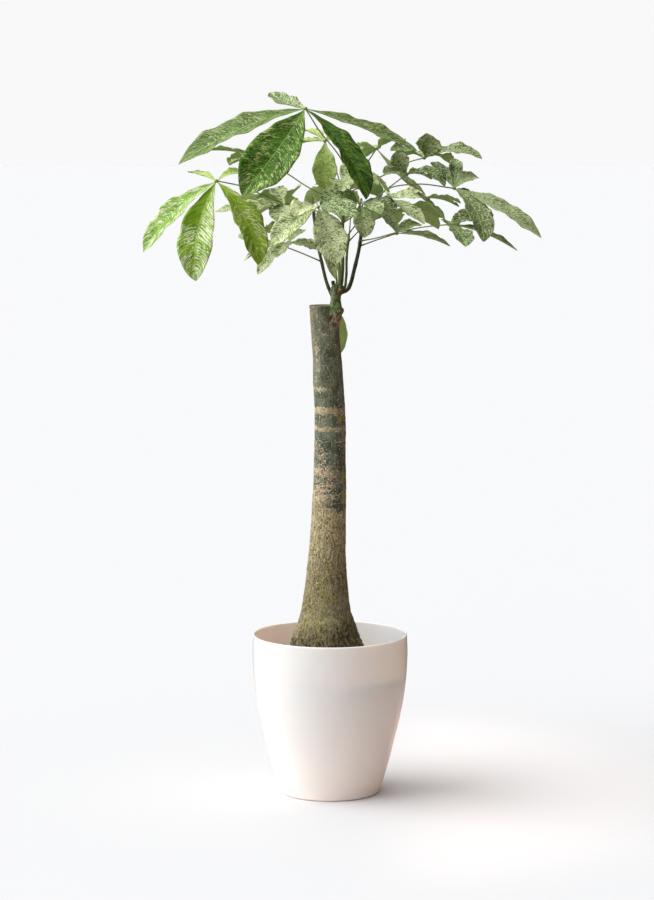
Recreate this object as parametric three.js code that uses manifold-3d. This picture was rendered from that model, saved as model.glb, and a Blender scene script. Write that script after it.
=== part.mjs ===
// A potted money tree: a thick trunk cut off flat, a leafy side shoot beside the cut, and a tall
// round cover pot filled with soil. Millimetres, +Z up, +X to the right and -Y to the front.
// The origin is the centre of the pot's flat base.
import * as THREE from "three";
import { mergeVertices } from "three/addons/utils/BufferGeometryUtils.js";
import Module from "manifold-3d";

// Pot and soil.
const POT_HEIGHT = 280;
const POT_WALL = 3;
const POT_FLOOR = 4;
const POT_SIDES = 36;
const POT_FLAT_RADIUS = 84; // the flat base that it stands on
const POT_FOOT_ROUND = [3, 1.5]; // out and up, from the edge of the flat to where the side starts
const POT_FILLET = [4, 3]; // out and up, in the corner between the floor and the wall inside
const POT_OUTLINE = [
  // radius and height up the outside, from above the rounded foot to the rim
  [89, 5],
  [101, 44],
  [114.5, 97],
  [129, 165],
  [134.5, 212],
  [136, 250],
  [135, 278.5],
];
const POT_OUTLINE_STEPS = 8;
const POT_INSIDE_START = 12; // the height where the wall starts inside, above the fillet
const FIT_GAP = 0.35; // between a piece and what it stands in or against
const SOIL_TOP = POT_HEIGHT - 60; // at the edge of its level part
const SOIL_EDGE_DROP = 6; // lower along the wall
const SOIL_EDGE_WIDTH = 12;
const SOIL_MOUND = 4; // higher in the middle

// Trunk: height, and how far it reaches to the left and to the right of the pot's axis.
const TRUNK_ROWS = [
  [160, -62, 48],
  [190, -74, 62],
  [215, -77, 66],
  [240, -74, 62],
  [260, -70, 56],
  [276, -66, 50],
  [297, -58, 45],
  [318, -51, 37],
  [350, -46, 32],
  [387, -41, 29],
  [430, -36.5, 27.5],
  [479, -33, 28],
  [548, -29, 28],
  [634, -26.5, 27.5],
  [679, -26.5, 25.5],
  [723, -29, 22.5],
  [756, -29.5, 20.5],
  [801, -32.5, 16],
  [834, -34.5, 15.5],
  [856, -36, 15],
];
const TRUNK_SIDES = 24;
const ROOT_SWELL = 0.07; // how far the foot swells into roots, as a share of its radius
const ROOT_TOP = 340; // the height where they have run out
const ROOT_LOBES = [
  // two rings of roots: how many, the turn of the first in radians, and their share
  { count: 5, turn: 0.8, share: 0.6 },
  { count: 3, turn: -1.2, share: 0.4 },
];

// The woody neck of the side shoot: height, centre X, centre Y and radius.
const NECK_ROWS = [
  [790, 2, -14, 3],
  [800, 3, -15, 6],
  [815, 5, -16.5, 9.5],
  [828, 6.5, -17, 11.4],
  [837, 8, -17.5, 12.6],
  [846, 9.5, -18, 13.6],
  [858, 9.6, -17.5, 11.8],
  [866, 10, -17, 10.4],
];
// The green base of the shoot, which stands in a plain hole in the neck's top.
const SHOOT_BASE_ROWS = [
  [857, 9.8, -17, 7],
  [866.4, 10, -16.5, 7],
  [866.8, 10, -16.5, 9.8],
  [872, 10.2, -14, 9.4],
  [880, 11, -10, 11.5],
  [888, 13, -8, 11],
  [893, 14, -7, 6],
];
const NECK_SIDES = 12;

// Green stems that stand in that base: radius and the points that each runs through.
const STEMS = [
  {
    radius: 2.7,
    points: [[5, -12, 869], [-4.5, -9, 892], [-15, -10, 934], [-20, -16, 956], [-30, -30, 1030]],
  },
  { radius: 3, points: [[18, -6, 878], [22, 0, 927], [21, 1, 962], [22, 1, 1003], [23, 0, 1050]] },
  {
    radius: 2.7,
    points: [[19, -7, 878], [31, -4.5, 884], [34, -4, 890], [42, 2, 918], [51, 7, 958], [57, 12, 1022]],
  },
  { radius: 2.2, points: [[16, -3, 878], [25, 1, 886], [27.5, 6, 900], [29, 12, 941], [33, 18, 975]] },
  { radius: 2.6, points: [[14, -8, 880], [16, -11, 900], [15, -11, 940], [12, -14, 990]] },
  { radius: 1.6, points: [[11, -3, 880], [11, 6, 905], [3, 22, 940], [-6, 34, 985]] },
  { radius: 3.2, points: [[8, -13, 873], [5, -14, 899]] }, // cut off short
];
const STEM_SIDES = 7;
const STEM_STEP = 32; // along a stem, between its rings

// Leaves. Each is a stalk from a stem to a hub, and blades from the hub to their tips.
// face is the way that the leaf's upper side looks. A blade gives its tip, its width, bow, which is
// how far the middle of its midrib stands off the straight line, and its own face where it turns.
const LEAVES = [
  {
    name: "leaf_top",
    face: [-0.1, -0.55, 0.83],
    stalk: [[23, 0, 1046], [27, -2, 1083], [-23, -25, 1163], [-42, -40, 1194]],
    blades: [
      { tip: [-105, 92, 1222], width: 40, bow: [0, 0, -5], face: [-0.1, -0.25, 0.97] },
      { tip: [-259, -30, 1099], width: 62, bow: [-5, -4, 12], face: [-0.33, -0.55, 0.76] },
      { tip: [-147, -165, 1050], width: 88, bow: [4, -12, 0], face: [-0.1, -0.95, 0.3] },
      { tip: [60, -160, 1043], width: 62, bow: [14, -10, 9], face: [0.62, -0.66, 0.41] },
      { tip: [149, -20, 1122], width: 50, bow: [2, -2, 4], face: [0.3, -0.36, 0.88] },
    ],
  },
  {
    name: "leaf_left",
    face: [-0.15, -0.55, 0.82],
    stalk: [[21, 0, 994], [-37, -12, 1024], [-82, -30, 1034], [-152, -90, 1064], [-191, -120, 1073]],
    blades: [
      { tip: [-313, -140, 955], width: 50, bow: [-8, -6, 9], face: [-0.52, -0.66, 0.54] },
      { tip: [-223, -190, 909], width: 62, bow: [-14, -8, 0], face: [-0.1, -0.95, 0.3] },
      { tip: [-120, -175, 935], width: 56, bow: [14, -6, 7], face: [0.54, -0.79, 0.26] },
      { tip: [-118, -20, 1071], width: 32, bow: [0, 0, 15] },
      { tip: [-243, -20, 1086], width: 26, bow: [0, 0, 3], face: [0, -0.1, 1] },
    ],
  },
  {
    name: "leaf_upper_middle",
    face: [0, -0.3, 0.95],
    stalk: [[22, 1, 1024], [18, 22, 1062], [-9, 25, 1138]],
    blades: [
      { tip: [-9, -5, 1055], width: 44, bow: [0, -10, 0], face: [0, -1, 0.1] },
      { tip: [-46, 100, 1156], width: 30, bow: [0, 0, 5], face: [0, 0, 1] },
      { tip: [-66, 60, 1128], width: 28, bow: [0, 0, 5] },
      { tip: [34, 98, 1120], width: 36, bow: [0, 0, 10] },
    ],
  },
  {
    name: "leaf_right_top",
    face: [0.1, -0.3, 0.94],
    stalk: [[23, 2, 1045], [85, 36, 1075], [107, 52, 1085], [139, 50, 1102], [163, 30, 1109]],
    blades: [
      { tip: [165, -8, 1152], width: 48, bow: [7, 0, 0], face: [-0.1, -0.9, 0.35] },
      { tip: [262, 15, 1108], width: 40, bow: [0, -4, 14], face: [0, -0.4, 0.9] },
      { tip: [104, -5, 1122], width: 38, bow: [0, 0, 6] },
      { tip: [212, 150, 1098], width: 42, bow: [0, 0, 10], face: [0.2, 0.2, 0.95] },
      { tip: [122, 155, 1104], width: 40, bow: [0, 0, 10], face: [0, 0.2, 0.95] },
    ],
  },
  {
    name: "leaf_right_inner",
    face: [0.1, -0.4, 0.9],
    stalk: [[22, 0, 998], [41, -3, 1010], [82, -6, 1044], [132, -10, 1082]],
    blades: [
      { tip: [196, -40, 1062], width: 38, bow: [5, -3, 14], face: [0.27, -0.47, 0.83] },
      { tip: [116, -30, 1122], width: 34, bow: [-3, -2, 0], face: [-0.2, -0.95, 0.1] },
      { tip: [92, -62, 1082], width: 32, bow: [0, 0, 5] },
      { tip: [176, 44, 1072], width: 34, bow: [0, 0, 6] },
    ],
  },
  {
    name: "leaf_back_left",
    face: [-0.2, 0.1, 0.97],
    stalk: [[22, 1, 1030], [-38, 15, 1059], [-71, 30, 1080], [-118, 50, 1108]],
    blades: [
      { tip: [-216, 65, 1122], width: 34, bow: [0, 0, 6] },
      { tip: [-172, 0, 1098], width: 32, bow: [0, 0, 6] },
      { tip: [-178, 165, 1094], width: 42, bow: [0, 0, 12] },
      { tip: [-72, -8, 1084], width: 34, bow: [0, 0, 6] },
      { tip: [-86, 160, 1100], width: 42, bow: [0, 0, 12] },
    ],
  },
  {
    name: "leaf_back_right",
    face: [0.1, 0.1, 0.98],
    stalk: [[23, 1, 1037], [50, 36, 1078], [81, 60, 1125]],
    blades: [
      { tip: [128, 125, 1132], width: 40, bow: [0, 0, 10] },
      { tip: [34, 30, 1112], width: 34, bow: [0, 0, 4] },
      { tip: [118, 8, 1142], width: 32, bow: [0, 0, 5] },
      { tip: [164, -18, 1046], width: 28, bow: [-3, 0, -5], face: [0.5, -0.45, 0.74] },
      { tip: [62, 165, 1108], width: 44, bow: [0, 0, 12] },
    ],
  },
  {
    name: "leaf_right",
    face: [0.2, -0.5, 0.84],
    stalk: [
      [29, 0, 975], [46, -6, 997], [75, -16, 1031], [96, -22, 1055], [144, -26, 1065],
      [213, -20, 1058],
    ],
    blades: [
      { tip: [176, 34, 1102], width: 28, bow: [0, 0, 4] },
      { tip: [220, 66, 1107], width: 26, bow: [0, 0, 4] },
      { tip: [256, 38, 1076], width: 30, bow: [0, 0, 8] },
      { tip: [362, -30, 974], width: 48, bow: [4, -4, 8], face: [0.42, -0.5, 0.755] },
      { tip: [284, 44, 1008], width: 38, bow: [0, 0, 6] },
      { tip: [258, -125, 971], width: 50, bow: [12, -8, 6], face: [0.46, -0.85, 0.25] },
    ],
  },
  {
    name: "leaf_right_low",
    face: [0.2, -0.5, 0.84],
    stalk: [[54, 6, 967], [77, -16, 972], [114, -38, 983], [158, -60, 993], [202, -70, 998]],
    blades: [
      { tip: [144, -150, 1053], width: 26, bow: [0, -2, 4], face: [0.3, -0.5, 0.8] },
      { tip: [254, -30, 1006], width: 36, bow: [0, 0, 6] },
      { tip: [226, -165, 965], width: 42, bow: [4, -8, 4], face: [0.3, -0.8, 0.5] },
      { tip: [320, -50, 953], width: 34, bow: [0, -2, 9], face: [0.1, -0.2, 0.97] },
      { tip: [216, 34, 988], width: 38, bow: [0, 0, 8], face: [0, 0.2, 0.97] },
    ],
  },
  {
    name: "leaf_right_small",
    face: [0.1, -0.3, 0.94],
    stalk: [[52, 7, 958], [77, 8, 967], [115, 2, 980]],
    blades: [
      { tip: [158, 42, 994], width: 34, bow: [0, 0, 5] },
      { tip: [207, 6, 958], width: 32, bow: [0, -2, 7] },
      { tip: [78, 30, 1024], width: 34, bow: [2, 0, 4] },
      { tip: [122, 92, 990], width: 36, bow: [0, 0, 8] },
    ],
  },
  {
    name: "leaf_right_back",
    face: [0.2, 0.2, 0.95],
    stalk: [[57, 12, 1010], [105, 24, 1046], [165, 30, 1040]],
    blades: [
      { tip: [228, 64, 1030], width: 22, bow: [0, 0, 6] },
      { tip: [172, 118, 1038], width: 30, bow: [0, 0, 2], face: [0, 0, 1] },
      { tip: [222, 0, 1026], width: 34, bow: [0, 0, 6] },
      { tip: [112, 80, 1040], width: 28, bow: [0, 0, 2], face: [0, 0, 1] },
    ],
  },
  {
    name: "leaf_front",
    face: [-0.1, -0.75, 0.65],
    stalk: [[-30, -30, 1026], [-28, -80, 1046], [-20, -140, 1030]],
    blades: [
      { tip: [11, -195, 937], width: 58, bow: [2, -10, 4] },
      { tip: [-96, -190, 968], width: 44, bow: [-4, -6, 6] },
      { tip: [9, -120, 908], width: 24, bow: [0, 8, 0] },
      { tip: [-60, -225, 1018], width: 42, bow: [0, -4, 8] },
      { tip: [44, -215, 1016], width: 40, bow: [0, -4, 8] },
    ],
  },
  {
    name: "leaf_left_inner",
    face: [-0.1, -0.4, 0.9],
    stalk: [[-30, -30, 1018], [-50, -42, 1026], [-77, -62, 1031]],
    blades: [
      { tip: [-197, -12, 1018], width: 36, bow: [0, 0, 2] },
      { tip: [-142, -120, 1020], width: 42, bow: [0, -4, 6] },
      { tip: [-50, -104, 1064], width: 34, bow: [0, 0, 4] },
      { tip: [-88, -140, 1004], width: 40, bow: [0, -6, 6] },
      { tip: [-96, 10, 1058], width: 32, bow: [0, 0, 4] },
    ],
  },
  {
    name: "leaf_left_low",
    face: [-0.2, -0.4, 0.9],
    stalk: [[-20, -15, 953], [-45, -38, 964], [-72, -45, 966]],
    blades: [
      { tip: [-14, -54, 953], width: 32, bow: [0, 0, 4] },
      { tip: [-46, 6, 986], width: 28, bow: [0, 0, 3] },
      { tip: [-124, -48, 912], width: 32, bow: [-3, -4, 4], face: [-0.4, -0.7, 0.6] },
      { tip: [-148, -8, 934], width: 34, bow: [0, 0, 7] },
      { tip: [-90, -104, 944], width: 38, bow: [0, -4, 7] },
    ],
  },
  {
    name: "leaf_left_back",
    face: [-0.2, 0.3, 0.93],
    stalk: [[-15, -10, 932], [-54, 0, 948], [-81, 5, 958], [-113, 12, 970], [-129, 15, 977]],
    blades: [
      { tip: [-124, 122, 962], width: 42, bow: [0, 0, 12] },
      { tip: [-96, 128, 972], width: 44, bow: [0, 0, 12] },
      { tip: [-66, 86, 982], width: 38, bow: [0, 0, 8] },
      { tip: [-150, -50, 972], width: 30, bow: [0, 0, 5] },
    ],
  },
  {
    name: "leaf_front_right",
    face: [0.15, -0.7, 0.7],
    stalk: [[57, 12, 1020], [54, -36, 1040], [50, -100, 1035]],
    blades: [
      { tip: [57, -155, 979], width: 38, bow: [2, -8, 2] },
      { tip: [112, -150, 1020], width: 38, bow: [0, -4, 7] },
      { tip: [4, -112, 1046], width: 36, bow: [0, -2, 7] },
      { tip: [84, -195, 1020], width: 36, bow: [0, -4, 7] },
    ],
  },
  {
    name: "leaf_middle",
    face: [0, -0.5, 0.86],
    stalk: [[23, 0, 1043], [14, -16, 1056], [18, -50, 1070]],
    blades: [
      { tip: [-8, -96, 1016], width: 38, bow: [0, -4, 4] },
      { tip: [22, -150, 1056], width: 44, bow: [0, -6, 9] },
      { tip: [82, -104, 1066], width: 40, bow: [0, -4, 9] },
      { tip: [46, -14, 1096], width: 38, bow: [0, 0, 4] },
    ],
  },
  {
    name: "leaf_right_front",
    face: [0.15, -0.5, 0.85],
    stalk: [[57, 12, 1008], [72, -36, 1018], [101, -100, 1043]],
    blades: [
      { tip: [158, -150, 1002], width: 32, bow: [0, -2, 4] },
      { tip: [160, -92, 1046], width: 34, bow: [0, 0, 4] },
      { tip: [108, -185, 1046], width: 36, bow: [0, -2, 7] },
      { tip: [78, -140, 1080], width: 28, bow: [0, 0, 4] },
    ],
  },
  {
    name: "leaf_behind_trunk",
    face: [0.1, 0.9, 0.4],
    stalk: [[18, 2, 884], [18, 26, 884], [15, 42, 866], [14, 48, 850]],
    blades: [
      { tip: [17, 64, 766], width: 30, bow: [0, 8, 2] },
      { tip: [-12, 78, 778], width: 30, bow: [0, 8, 2] },
      { tip: [2, 118, 812], width: 32, bow: [0, 4, 10] },
    ],
  },
  {
    name: "leaf_back",
    face: [0, 0.5, 0.86],
    stalk: [[33, 18, 972], [36, 60, 1016], [30, 140, 1050]],
    blades: [
      { tip: [-44, 190, 1018], width: 46, bow: [0, 0, 12] },
      { tip: [24, 255, 990], width: 54, bow: [0, 4, 14] },
      { tip: [92, 196, 1036], width: 46, bow: [0, 0, 12] },
      { tip: [96, 110, 1066], width: 34, bow: [0, 0, 6] },
      { tip: [-26, 96, 1062], width: 34, bow: [0, 0, 6] },
    ],
  },
  {
    name: "leaf_back_far_left",
    face: [-0.3, 0.5, 0.8],
    stalk: [[-6, 34, 982], [-30, 76, 1016], [-84, 130, 1030]],
    blades: [
      { tip: [-175, 140, 1012], width: 44, bow: [0, 0, 10] },
      { tip: [-150, 220, 986], width: 50, bow: [0, 4, 12] },
      { tip: [-72, 240, 992], width: 48, bow: [0, 4, 12] },
      { tip: [-130, 66, 1040], width: 34, bow: [0, 0, 6] },
    ],
  },
  {
    name: "leaf_back_low",
    face: [0.3, 0.5, 0.8],
    stalk: [[33, 18, 966], [60, 66, 990], [110, 140, 1012]],
    blades: [
      { tip: [204, 165, 1000], width: 44, bow: [0, 0, 10] },
      { tip: [196, 235, 978], width: 50, bow: [0, 4, 12] },
      { tip: [110, 262, 982], width: 48, bow: [0, 4, 12] },
      { tip: [60, 222, 992], width: 38, bow: [0, 0, 8] },
    ],
  },
];
const STALK_RADIUS = 1.3;
const STALK_SIDES = 5;
const STALK_STEP = 34;
const HUB_RADIUS = 3.5;
const BLADE_THICKNESS = 0.9;
const BLADE_STATIONS = [0, 0.14, 0.36, 0.59, 0.81, 1];
const BLADE_WIDEST = 0.6; // where along its length a blade is widest
const BLADE_TIP_POWER = 0.8;
const BLADE_ROOT_HALF = 1.2; // half width where it leaves the hub
const BLADE_TIP_HALF = 0.6;
const BLADE_FOLD = 16; // degrees that each half lifts from the midrib
const EDGE_WAVES = 2.5;
const EDGE_WAVE_SHARE = 0.045; // height of a wave, as a share of the blade's width
const EDGE_WAVE_TURN = 1.7; // radians between the waves of one blade and the next

const POT_WHITE = { color: 0xf1eeeb, roughness: 0.35 };
const BARK = { color: 0x7c7a5f, roughness: 0.85 };
const POTTING_SOIL = { color: 0x4b3829, roughness: 0.95 };
const GREEN_STEM = { color: 0x56683b, roughness: 0.6 };
const LEAF_GREEN = { color: 0x86a05c, roughness: 0.5 };

const MERGE_DISTANCE = 1e-4; // vertices closer than this are one vertex of a solid

const wasm = await Module();
wasm.setup();

// A closed geometry as a solid that can be joined and cut. Faces that closed up to nothing at a
// point on the axis are dropped.
function solidOf(geometry) {
  const bare = geometry.clone();
  bare.deleteAttribute("normal");
  bare.deleteAttribute("uv");
  const merged = mergeVertices(bare, MERGE_DISTANCE);
  const corners = merged.index.array;
  const kept = [];
  for (let i = 0; i < corners.length; i += 3) {
    const [a, b, c] = [corners[i], corners[i + 1], corners[i + 2]];
    if (a !== b && b !== c && a !== c) kept.push(a, b, c);
  }
  return new wasm.Manifold(
    new wasm.Mesh({
      numProp: 3,
      vertProperties: new Float32Array(merged.attributes.position.array),
      triVerts: new Uint32Array(kept),
    }),
  );
}

// The largest body of a solid, without the scraps that a cut may leave.
function largestBody(solid) {
  return solid.decompose().reduce((best, body) => (body.volume() > best.volume() ? body : best));
}

// A solid as a geometry with its own faces and flat shading.
function geometryOf(solid) {
  const mesh = solid.getMesh();
  const geometry = new THREE.BufferGeometry();
  geometry.setAttribute("position", new THREE.BufferAttribute(mesh.vertProperties, 3));
  geometry.setIndex(new THREE.BufferAttribute(mesh.triVerts, 1));
  const faceted = geometry.toNonIndexed();
  faceted.computeVertexNormals();
  return faceted;
}

// A shape turned about an upright axis from a profile of [radius, height] pairs. move, if given,
// takes each vertex and shifts or swells it.
function turned(profile, sides, move) {
  const points = profile.map(([radius, height]) => new THREE.Vector2(radius, height));
  const geometry = new THREE.LatheGeometry(points, sides).rotateX(Math.PI / 2);
  const position = geometry.attributes.position;
  const vertex = new THREE.Vector3();
  for (let i = 0; move && i < position.count; i++) {
    move(vertex.fromBufferAttribute(position, i));
    position.setXYZ(i, vertex.x, vertex.y, vertex.z);
  }
  return geometry;
}

// The value at a height, straight between rows of [height, value, ...].
function between(rows, height, column) {
  const next = rows.findIndex((row) => row[0] >= height);
  if (next === 0) return rows[0][column];
  if (next < 0) return rows[rows.length - 1][column];
  const [low, high] = [rows[next - 1], rows[next]];
  return THREE.MathUtils.mapLinear(height, low[0], high[0], low[column], high[column]);
}

// A limb that leans: rows of [height, centre X, centre Y, radius], closed flat at both ends.
function limb(rows, sides, extra = 0) {
  const profile = rows.map(([height, , , radius]) => [radius + extra, height]);
  profile.unshift([0, rows[0][0]]);
  profile.push([0, rows[rows.length - 1][0]]);
  return turned(profile, sides, (vertex) => {
    vertex.x += between(rows, vertex.z, 1);
    vertex.y += between(rows, vertex.z, 2);
  });
}

// A round rod along a smooth curve through points.
function rod(points, radius, sides, step) {
  const path = new THREE.CatmullRomCurve3(points.map((p) => new THREE.Vector3(...p)));
  const section = new THREE.Shape();
  for (let i = 0; i < sides; i++) {
    const angle = (2 * Math.PI * i) / sides;
    const [x, y] = [radius * Math.cos(angle), radius * Math.sin(angle)];
    if (i) section.lineTo(x, y);
    else section.moveTo(x, y);
  }
  const steps = Math.max(2, Math.round(path.getLength() / step));
  return new THREE.ExtrudeGeometry(section, { steps, extrudePath: path, bevelEnabled: false });
}

// The pot's side as [radius, height] pairs from its foot to its rim, set in from the outside.
function potSide(inset = 0) {
  const outline = new THREE.SplineCurve(POT_OUTLINE.map(([r, z]) => new THREE.Vector2(r, z)));
  return outline.getPoints(POT_OUTLINE_STEPS).map((point) => [point.x - inset, point.y]);
}

// The pot: a thin shell that narrows in a long curve to a rounded foot and a flat base.
function pot() {
  const outside = potSide();
  const inside = potSide(POT_WALL).filter(([, height]) => height > POT_INSIDE_START);
  const rim = outside[outside.length - 1][0];
  const floorRadius = POT_FLAT_RADIUS - POT_WALL;
  return turned(
    [
      [0, 0],
      [POT_FLAT_RADIUS, 0],
      [POT_FLAT_RADIUS + POT_FOOT_ROUND[0], POT_FOOT_ROUND[1]],
      ...outside,
      [rim - POT_WALL / 2, POT_HEIGHT],
      ...inside.reverse(),
      [floorRadius + POT_FILLET[0], POT_FLOOR + POT_FILLET[1]],
      [floorRadius, POT_FLOOR],
      [0, POT_FLOOR],
    ],
    POT_SIDES,
  );
}

// The soil: it fills the pot, clear of its wall and floor, and has a plain hole for the trunk.
function soil() {
  const side = potSide(POT_WALL + 2 * FIT_GAP);
  const edge = SOIL_TOP - SOIL_EDGE_DROP;
  const edgeRadius = between(side.map(([radius, height]) => [height, radius]), edge, 1);
  const body = turned(
    [
      [0, POT_FLOOR + FIT_GAP],
      [POT_FLAT_RADIUS - POT_WALL - 2 * FIT_GAP, POT_FLOOR + FIT_GAP],
      ...side.filter(([, height]) => height > POT_INSIDE_START && height < edge),
      [edgeRadius, edge],
      [edgeRadius - SOIL_EDGE_WIDTH, SOIL_TOP],
      [0, SOIL_TOP + SOIL_MOUND],
    ],
    POT_SIDES,
  );
  return solidOf(body).subtract(solidOf(bole(FIT_GAP)));
}

// The trunk's foot and bole, wider by extra all round. The foot swells into blunt roots.
function bole(extra = 0) {
  const rows = TRUNK_ROWS.map(([height, left, right]) => [height, (left + right) / 2, 0]);
  const profile = TRUNK_ROWS.map(([height, left, right]) => [(right - left) / 2 + extra, height]);
  profile.unshift([0, TRUNK_ROWS[0][0] - extra]);
  profile.push([0, TRUNK_ROWS[TRUNK_ROWS.length - 1][0]]);
  return turned(profile, TRUNK_SIDES, (vertex) => {
    const angle = Math.atan2(vertex.y, vertex.x);
    const low = THREE.MathUtils.smoothstep(ROOT_TOP - vertex.z, 0, ROOT_TOP - SOIL_TOP);
    const lobes = ROOT_LOBES.map(({ count, turn, share }) => share * Math.cos(count * angle + turn));
    const swell = 1 + ROOT_SWELL * low * (lobes[0] + lobes[1]);
    vertex.x = vertex.x * swell + between(rows, vertex.z, 1);
    vertex.y *= swell;
  });
}

// The shoot's base and its stems as one body, wider by extra all round.
function shoot(extra = 0) {
  const stems = STEMS.map(({ radius, points }) =>
    solidOf(rod(points, radius + extra, STEM_SIDES, STEM_STEP)),
  );
  return stems.reduce(
    (whole, stem) => whole.add(stem),
    solidOf(limb(SHOOT_BASE_ROWS, NECK_SIDES, extra)),
  );
}

// Half the width of a blade at a share t of its length: narrow at the root, widest past the
// middle, pointed at the tip.
function bladeHalfWidth(t, width) {
  const rootPower = (BLADE_TIP_POWER * BLADE_WIDEST) / (1 - BLADE_WIDEST);
  const rise = (t / BLADE_WIDEST) ** rootPower;
  const fall = ((1 - t) / (1 - BLADE_WIDEST)) ** BLADE_TIP_POWER;
  const least = THREE.MathUtils.lerp(BLADE_ROOT_HALF, BLADE_TIP_HALF, t);
  return Math.max(least, (width / 2) * rise * fall);
}

// One blade: its midrib is an arc from the hub to the tip, its halves lift from the midrib, and
// its edges wave. Both faces are split into the same triangles.
function blade(hub, { tip, width, bow, face }, turn) {
  const to = new THREE.Vector3(...tip);
  const chord = to.clone().sub(new THREE.Vector3(...hub)).normalize();
  const from = new THREE.Vector3(...hub).addScaledVector(chord, HUB_RADIUS / 2);
  const up = new THREE.Vector3(...face);
  up.addScaledVector(chord, -up.dot(chord)).normalize();
  const middle = from.clone().lerp(to, 0.5).addScaledVector(new THREE.Vector3(...bow), 2);
  const midrib = new THREE.QuadraticBezierCurve3(from, middle, to);
  const fold = THREE.MathUtils.degToRad(BLADE_FOLD);
  const vertices = [];
  for (const t of BLADE_STATIONS) {
    const along = midrib.getTangent(t);
    const side = new THREE.Vector3().crossVectors(along, up).normalize();
    const out = new THREE.Vector3().crossVectors(side, along);
    const half = bladeHalfWidth(t, width);
    const wave = EDGE_WAVE_SHARE * width * Math.sin(2 * Math.PI * EDGE_WAVES * t + turn);
    for (const across of [-1, 0, 1]) {
      const reach = Math.abs(across) * half;
      const lift = reach * Math.sin(fold) + across * wave * (half / width) * 2;
      for (const offset of [0, -BLADE_THICKNESS]) {
        vertices.push(
          midrib
            .getPoint(t)
            .addScaledVector(side, across * half * Math.cos(fold))
            .addScaledVector(out, lift + offset),
        );
      }
    }
  }
  return bladeSkin(vertices);
}

// The closed skin over a blade's stations, each of three pairs of upper and lower vertices.
function bladeSkin(vertices) {
  const faces = [];
  const quad = (a, b, c, d) => faces.push(a, b, c, a, c, d);
  const last = BLADE_STATIONS.length - 1;
  for (let i = 0; i < last; i++) {
    const [here, next] = [6 * i, 6 * (i + 1)];
    for (const column of [0, 2]) {
      quad(here + column, here + column + 2, next + column + 2, next + column);
      quad(here + column + 1, next + column + 1, next + column + 3, here + column + 3);
    }
    quad(here, next, next + 1, here + 1);
    quad(here + 4, here + 5, next + 5, next + 4);
  }
  for (const column of [0, 2]) {
    quad(column, column + 1, column + 3, column + 2);
    const end = 6 * last + column;
    quad(end, end + 2, end + 3, end + 1);
  }
  const geometry = new THREE.BufferGeometry().setFromPoints(vertices);
  geometry.setIndex(faces);
  return geometry;
}

// A palmate leaf: stalk, hub and blades as one body, clear of the stems that it grows from.
function leaf({ face, stalk, blades }, stems) {
  const hub = stalk[stalk.length - 1];
  let whole = solidOf(rod(stalk, STALK_RADIUS, STALK_SIDES, STALK_STEP));
  whole = whole.add(solidOf(new THREE.IcosahedronGeometry(HUB_RADIUS).translate(...hub)));
  blades.forEach((one, i) => {
    whole = whole.add(solidOf(blade(hub, { face, ...one }, i * EDGE_WAVE_TURN)));
  });
  return largestBody(whole.subtract(stems));
}

const group = new THREE.Group();

function add(name, solid, look) {
  const material = new THREE.MeshStandardMaterial({ ...look, metalness: 0 });
  const mesh = new THREE.Mesh(geometryOf(solid), material);
  mesh.name = name;
  group.add(mesh);
}

const clearOfStems = shoot(FIT_GAP);
const trunk = solidOf(bole()).add(solidOf(limb(NECK_ROWS, NECK_SIDES))).subtract(clearOfStems);

add("pot", solidOf(pot()), POT_WHITE);
add("soil", soil(), POTTING_SOIL);
add("trunk", largestBody(trunk), BARK);
add("shoot", shoot(), GREEN_STEM);
for (const one of LEAVES) add(one.name, leaf(one, clearOfStems), LEAF_GREEN);

export default group;
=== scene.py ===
"""A potted money tree: a thick trunk cut off flat, a leafy side shoot beside the cut, and a white
pot. Sizes are in millimetres, and are turned into metres where a mesh is made."""

import bpy
import numpy as np
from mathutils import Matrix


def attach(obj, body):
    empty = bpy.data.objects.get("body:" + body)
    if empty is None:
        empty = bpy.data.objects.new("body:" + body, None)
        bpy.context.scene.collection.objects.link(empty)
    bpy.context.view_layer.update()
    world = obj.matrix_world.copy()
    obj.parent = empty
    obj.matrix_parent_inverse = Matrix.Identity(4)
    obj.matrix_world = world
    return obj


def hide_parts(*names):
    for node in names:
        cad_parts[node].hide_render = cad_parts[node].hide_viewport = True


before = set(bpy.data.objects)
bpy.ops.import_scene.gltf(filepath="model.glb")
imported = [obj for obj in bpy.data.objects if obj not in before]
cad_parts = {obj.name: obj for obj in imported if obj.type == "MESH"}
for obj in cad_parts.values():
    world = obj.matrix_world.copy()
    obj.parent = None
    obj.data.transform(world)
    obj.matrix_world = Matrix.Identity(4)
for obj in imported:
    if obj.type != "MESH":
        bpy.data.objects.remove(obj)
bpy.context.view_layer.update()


# Studio. A long lens stands five metres off and looks down a little on a plain pale floor, which is
# painted lighter near the pot on the right to lift the plant's shadow there. A wide soft sun shines from
# the left, and the room is pale there and overhead and dim on the right.

CAMERA_PLACE = (-0.0052, -5.010, 1.188)
CAMERA_DIP = 6.65  # degrees below the level
CAMERA_LENS = 116
FLOOR_REACH = 60.0  # metres, half of its side
SUN_PLACE = (-1.0, -0.11, 0.82)  # seen from the plant
SUN_WIDTH = 64  # degrees
SUN_STRENGTH = 2.8
SUN_COLOUR = (0.98, 0.99, 1.0)
BACKDROP = "f9f9f9"
ROOM_LEFT = "f6f9ff"
ROOM_RIGHT = "37251b"
ROOM_TOP = "ffffff"
ROOM_ACROSS = (-0.5, 0.25)  # the stretch from left to right over which the walls change
ROOM_UP = (0.6, 0.95)  # and the one over which they turn into the top
ROOM_STRENGTH = 1.5
FLOOR_SEEN = "cecece"
FLOOR_SEEN_SHADOW_LIFT = "ddd9d7"  # painted light: lighter near the pot on the right, which lifts the plant's shadow there
RIGHT_STARTS = (0.0, 0.25)  # metres across
RIGHT_ENDS = (0.8, 0.4)  # metres from the pot
FLOOR_NEAR = "eacfc2"  # what the floor throws back close to the pot
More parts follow.
